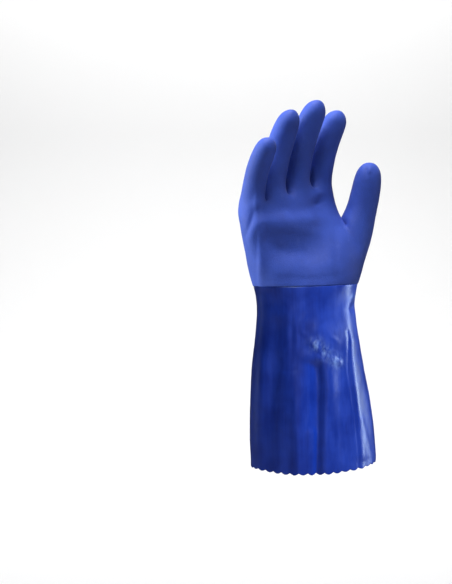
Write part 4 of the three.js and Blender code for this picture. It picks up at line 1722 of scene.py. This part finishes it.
def coat_material(name: str, finish: Finish, effects: Effects, is_matt: bool) -> bpy.types.Material:
    """Makes the material of a coat.

    Args:
        name: the material's name.
        finish: its colours, gloss and bump.
        effects: the shared node groups.
        is_matt: whether it has the sandy grain, and otherwise the runs of a smooth coat.

    Returns:
        The material.
    """
    material = bpy.data.materials.new(name)
    material.use_nodes = True
    nodes = Nodes(material.node_tree)
    place = nodes.add("ShaderNodeTexCoord").outputs["Object"]
    crumpled = nodes.add("ShaderNodeAttribute", attribute_name=CRUMPLED).outputs["Fac"]

    def group(tree: bpy.types.NodeTree, inputs: dict | None = None) -> bpy.types.NodeOutputs:
        """Adds a shared group at the object's own coordinates.

        Args:
            tree: the group.
            inputs: for its other sockets, by name, another node's output.

        Returns:
            Its outputs.
        """
        node = nodes.add("ShaderNodeGroup", node_tree=tree)
        for socket, value in {"Vector": place, **(inputs or {})}.items():
            nodes.tree.links.new(value, node.inputs[socket])
        return node.outputs

    detail = group(effects.grain if is_matt else effects.runs)
    wear = group(effects.wear)
    # Painted highlight: a paler colour blended in on the crumples in place of the glints of the gloss there
    white = group(effects.crumple_highlight, {"Crumpled": crumpled})["White"]
    mottle, second = wear["Mottle"], detail["Speckle" if is_matt else "Gloss"]
    scuffs = nodes.math("MULTIPLY", wear["Scuffs"], finish.scuffed)
    tone = nodes.blend_sum(*zip((mottle, second), COLOUR_SHARES))
    colour = nodes.blend(tone, finish.deep, finish.light)
    colour = nodes.blend(scuffs, colour, finish.worn)
    colour = nodes.blend(white, colour, finish.painted_highlight)
    unevenness = nodes.blend_sum(*zip((mottle, second, scuffs), ROUGHNESS_SHARES), clamp=True)
    roughness = {"Value": unevenness, "To Min": finish.smoothest, "To Max": finish.roughest}
    bump = {"Strength": finish.bump, "Distance": finish.bump_height, "Height": detail["Height"]}
    inputs = {
        "Base Color": colour,
        "Roughness": nodes.add("ShaderNodeMapRange", roughness).outputs[0],
        "Normal": nodes.add("ShaderNodeBump", bump).outputs[0],
        "IOR": finish.index,
        "Sheen Weight": finish.sheen,
    }
    shader = nodes.add("ShaderNodeBsdfPrincipled", inputs)
    nodes.add("ShaderNodeOutputMaterial", {"Surface": shader.outputs[0]})
    return material


@dataclass(frozen=True)
class Softbox:
    """An area light that falls on one target only.

    azimuth goes from the camera's side towards the thumb's and elevation up from the horizon, in
    degrees, as seen from aim, at distance metres. size is its width and height in metres, and power is
    in watts. A light that isn't mirrored brightens the glove without showing in its gloss, and one that
    isn't diffuse shows only there.
    """

    name: str
    target: Target
    azimuth: float
    elevation: float
    power: float
    size: tuple[float, float] = (0.5, 0.5)
    distance: float = 1.5
    aim: tuple[float, float, float] = (0.0, 0.0, 0.2)
    colour: tuple[float, float, float] = (1.0, 1.0, 1.0)
    is_mirrored: bool = True
    is_diffuse: bool = True

    def build(self, lit: bpy.types.Collection) -> bpy.types.Object:
        """Builds the light.

        Args:
            lit: the collection of what it falls on.

        Returns:
            The light, aimed and linked to the scene.
        """
        lamp = bpy.data.lights.new(self.name, "AREA")
        lamp.shape = "RECTANGLE"
        lamp.size, lamp.size_y = self.size
        lamp.energy = self.power
        lamp.color = self.colour
        turn, up = math.radians(self.azimuth), math.radians(self.elevation)
        away = Vector((math.sin(turn) * math.cos(up), -math.cos(turn) * math.cos(up), math.sin(up)))
        obj = bpy.data.objects.new(self.name, lamp)
        obj.location = Vector(self.aim) + away * self.distance
        obj.rotation_euler = away.to_track_quat("Z", "Y").to_euler()
        obj.visible_glossy = self.is_mirrored
        obj.visible_diffuse = self.is_diffuse
        obj.light_linking.receiver_collection = lit
        bpy.context.scene.collection.objects.link(obj)
        return obj


# Colour of the lights in the cuff's gloss
COOL = (0.8, 1.0, 1.0)
LIGHTS = (
    Softbox("hand_left", Target.HAND, -86, 18, 23.0, colour=(0.95, 1.0, 0.85)),
    Softbox("hand_front", Target.HAND, -15, 64, 20.0),
    Softbox("hand_top", Target.HAND, -60, 80, 21.0),
    Softbox("hand_right", Target.HAND, 88, 12, 2.4),
    Softbox("hand_low", Target.HAND, -95, -8, 8.0),
    Softbox("cuff_right", Target.CUFF, 60, 45, 30.0, is_mirrored=False),
    Softbox("cuff_back", Target.CUFF, -140, 40, 5.0),
    Softbox("cuff_front", Target.CUFF, 10, 15, 6.0, size=(1.2, 1.2), is_mirrored=False),
    Softbox("cuff_high", Target.CUFF, 5, 46, 18.0, size=(0.5, 0.4), colour=COOL, is_diffuse=False),
    Softbox(
        "cuff_strip", Target.CUFF, 91, 5, 14.0, size=(0.3, 1.1), distance=1.2, colour=COOL, is_diffuse=False
    ),
    Softbox("cuff_side", Target.CUFF, 105, 8, 6.0, size=(0.7, 1.1), colour=COOL, is_diffuse=False),
    Softbox("cuff_left", Target.CUFF, -106, -7, 0.4, size=(0.5, 0.12), colour=COOL, is_diffuse=False),
    Softbox(
        "backdrop_light", Target.BACKDROP, 0, 66, 50.0, size=(1.6, 1.0), distance=2.0, aim=(-0.08, 1.1, 0.1)
    ),
)


@dataclass(frozen=True)
class Backdrop:
    """A pale floor that curves up into a wall, with its sizes in metres."""

    floor: float = -0.126
    front: float = -2.2
    bend: float = 0.7
    radius: float = 0.6
    top: float = 2.4
    left: float = -0.85
    right: float = 0.7
    steps: int = 24
    shade: Colour = (0.88, 0.88, 0.88, 1)
    roughness: float = 0.95

    def build(self) -> bpy.types.Object:
        """Builds the backdrop, which doesn't show in the glove's gloss.

        Returns:
            The backdrop.
        """
        profile = [(self.front, self.floor), (self.bend, self.floor)]
        for i in range(1, self.steps + 1):
            angle = math.radians(i * 90 / self.steps)
            rise = self.radius * (1 - math.cos(angle))
            profile.append((self.bend + self.radius * math.sin(angle), self.floor + rise))
        profile.append((self.bend + self.radius, self.top))
        points = [(x / MM, y / MM, z / MM) for y, z in profile for x in (self.left, self.right)]
        faces = [(2 * i, 2 * i + 1, 2 * i + 3, 2 * i + 2) for i in range(len(profile) - 1)]
        mesh = mesh_from("backdrop", np.array(points), faces)
        mesh.polygons.foreach_set("use_smooth", [True] * len(faces))
        material = bpy.data.materials.new("backdrop_paper")
        material.use_nodes = True
        nodes = Nodes(material.node_tree)
        inputs = {"Base Color": self.shade, "Roughness": self.roughness}
        shader = nodes.add("ShaderNodeBsdfPrincipled", inputs)
        nodes.add("ShaderNodeOutputMaterial", {"Surface": shader.outputs[0]})
        mesh.materials.append(material)
        backdrop = placed("backdrop", mesh)
        backdrop.visible_glossy = False
        return backdrop


@dataclass(frozen=True)
class Studio:
    """The backdrop with its soft lights, in a room that is dim but looks white to the camera."""

    lights: tuple[Softbox, ...] = LIGHTS
    backdrop: Backdrop = Backdrop()
    dim: float = 0.05
    seen: float = 0.9

    def build(self, gauntlet: bpy.types.Object, hand: bpy.types.Object) -> None:
        """Builds the backdrop, the lights and the room round the glove.

        Args:
            gauntlet: the glossy piece.
            hand: the matt piece.
        """
        lit = {}
        targets = {Target.HAND: hand, Target.CUFF: gauntlet, Target.BACKDROP: self.backdrop.build()}
        for target, obj in targets.items():
            lit[target] = bpy.data.collections.new(target.value)
            lit[target].objects.link(obj)
        [box.build(lit[box.target]) for box in self.lights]
        self.build_room()

    def build_room(self) -> None:
        """Builds the room and shows its colours as they are."""
        world = bpy.data.worlds.new("room")
        world.use_nodes = True
        nodes = Nodes(world.node_tree)
        is_seen = nodes.add("ShaderNodeLightPath").outputs["Is Camera Ray"]
        inputs = {"Value": is_seen, "To Min": self.dim, "To Max": self.seen}
        strength = nodes.add("ShaderNodeMapRange", inputs).outputs[0]
        sky = nodes.add("ShaderNodeBackground", {"Color": (1, 1, 1, 1), "Strength": strength})
        nodes.add("ShaderNodeOutputWorld", {"Surface": sky.outputs[0]})
        bpy.context.scene.world = world
        bpy.context.scene.view_settings.view_transform = "Standard"


@dataclass(frozen=True)
class Viewpoint:
    """The photo's camera, level and looking along +Y: its place in metres, and its lens and sensor in mm."""

    place: tuple[float, float, float] = (-0.0818, -1.225, 0.1667)
    lens: float = 80.3
    sensor_height: float = 36.0

    def build(self) -> bpy.types.Object:
        """Builds the camera and makes it the scene's.

        Returns:
            The camera.
        """
        data = bpy.data.cameras.new("camera")
        data.sensor_fit = "VERTICAL"
        data.sensor_height = self.sensor_height
        data.lens = self.lens
        camera = bpy.data.objects.new("camera", data)
        camera.location = self.place
        camera.rotation_euler = (math.radians(90), 0, 0)
        bpy.context.scene.collection.objects.link(camera)
        bpy.context.scene.camera = camera
        return camera


def report(obj: bpy.types.Object) -> None:
    """Logs the size of a finished piece.

    Args:
        obj: the piece.
    """
    obj.data.calc_loop_triangles()
    size = ", ".join(f"{side / MM:.1f}" for side in obj.dimensions)
    LOG.info("%s: %d triangles, %s mm", obj.name, len(obj.data.loop_triangles), size)


def main() -> None:
    """Builds the glove, its studio and its camera."""
    logging.basicConfig(level=logging.INFO, format="%(name)s: %(message)s")
    effects = Effects()
    glossy = coat_material("glossy_pvc", CUFF_FINISH, effects, is_matt=False)
    matt = coat_material("sandy_pvc", HAND_FINISH, effects, is_matt=True)
    cage = GloveCage().build()
    fine, coarse = GloveSurface(cage, FINE_LEVEL), GloveSurface(cage, COARSE_LEVEL)
    gauntlet = Gauntlet(fine, coarse, glossy).build()
    hand = HandCoat(coarse, matt).build()
    for piece, node, slot in ((gauntlet, "gauntlet", "gauntlet"), (hand, "hand_coating", "hand_coating")):
        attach(piece, "root")
        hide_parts(node)
        report(piece)
    Studio().build(gauntlet, hand)
    Viewpoint().build()


if __name__ == "__main__":
    main()
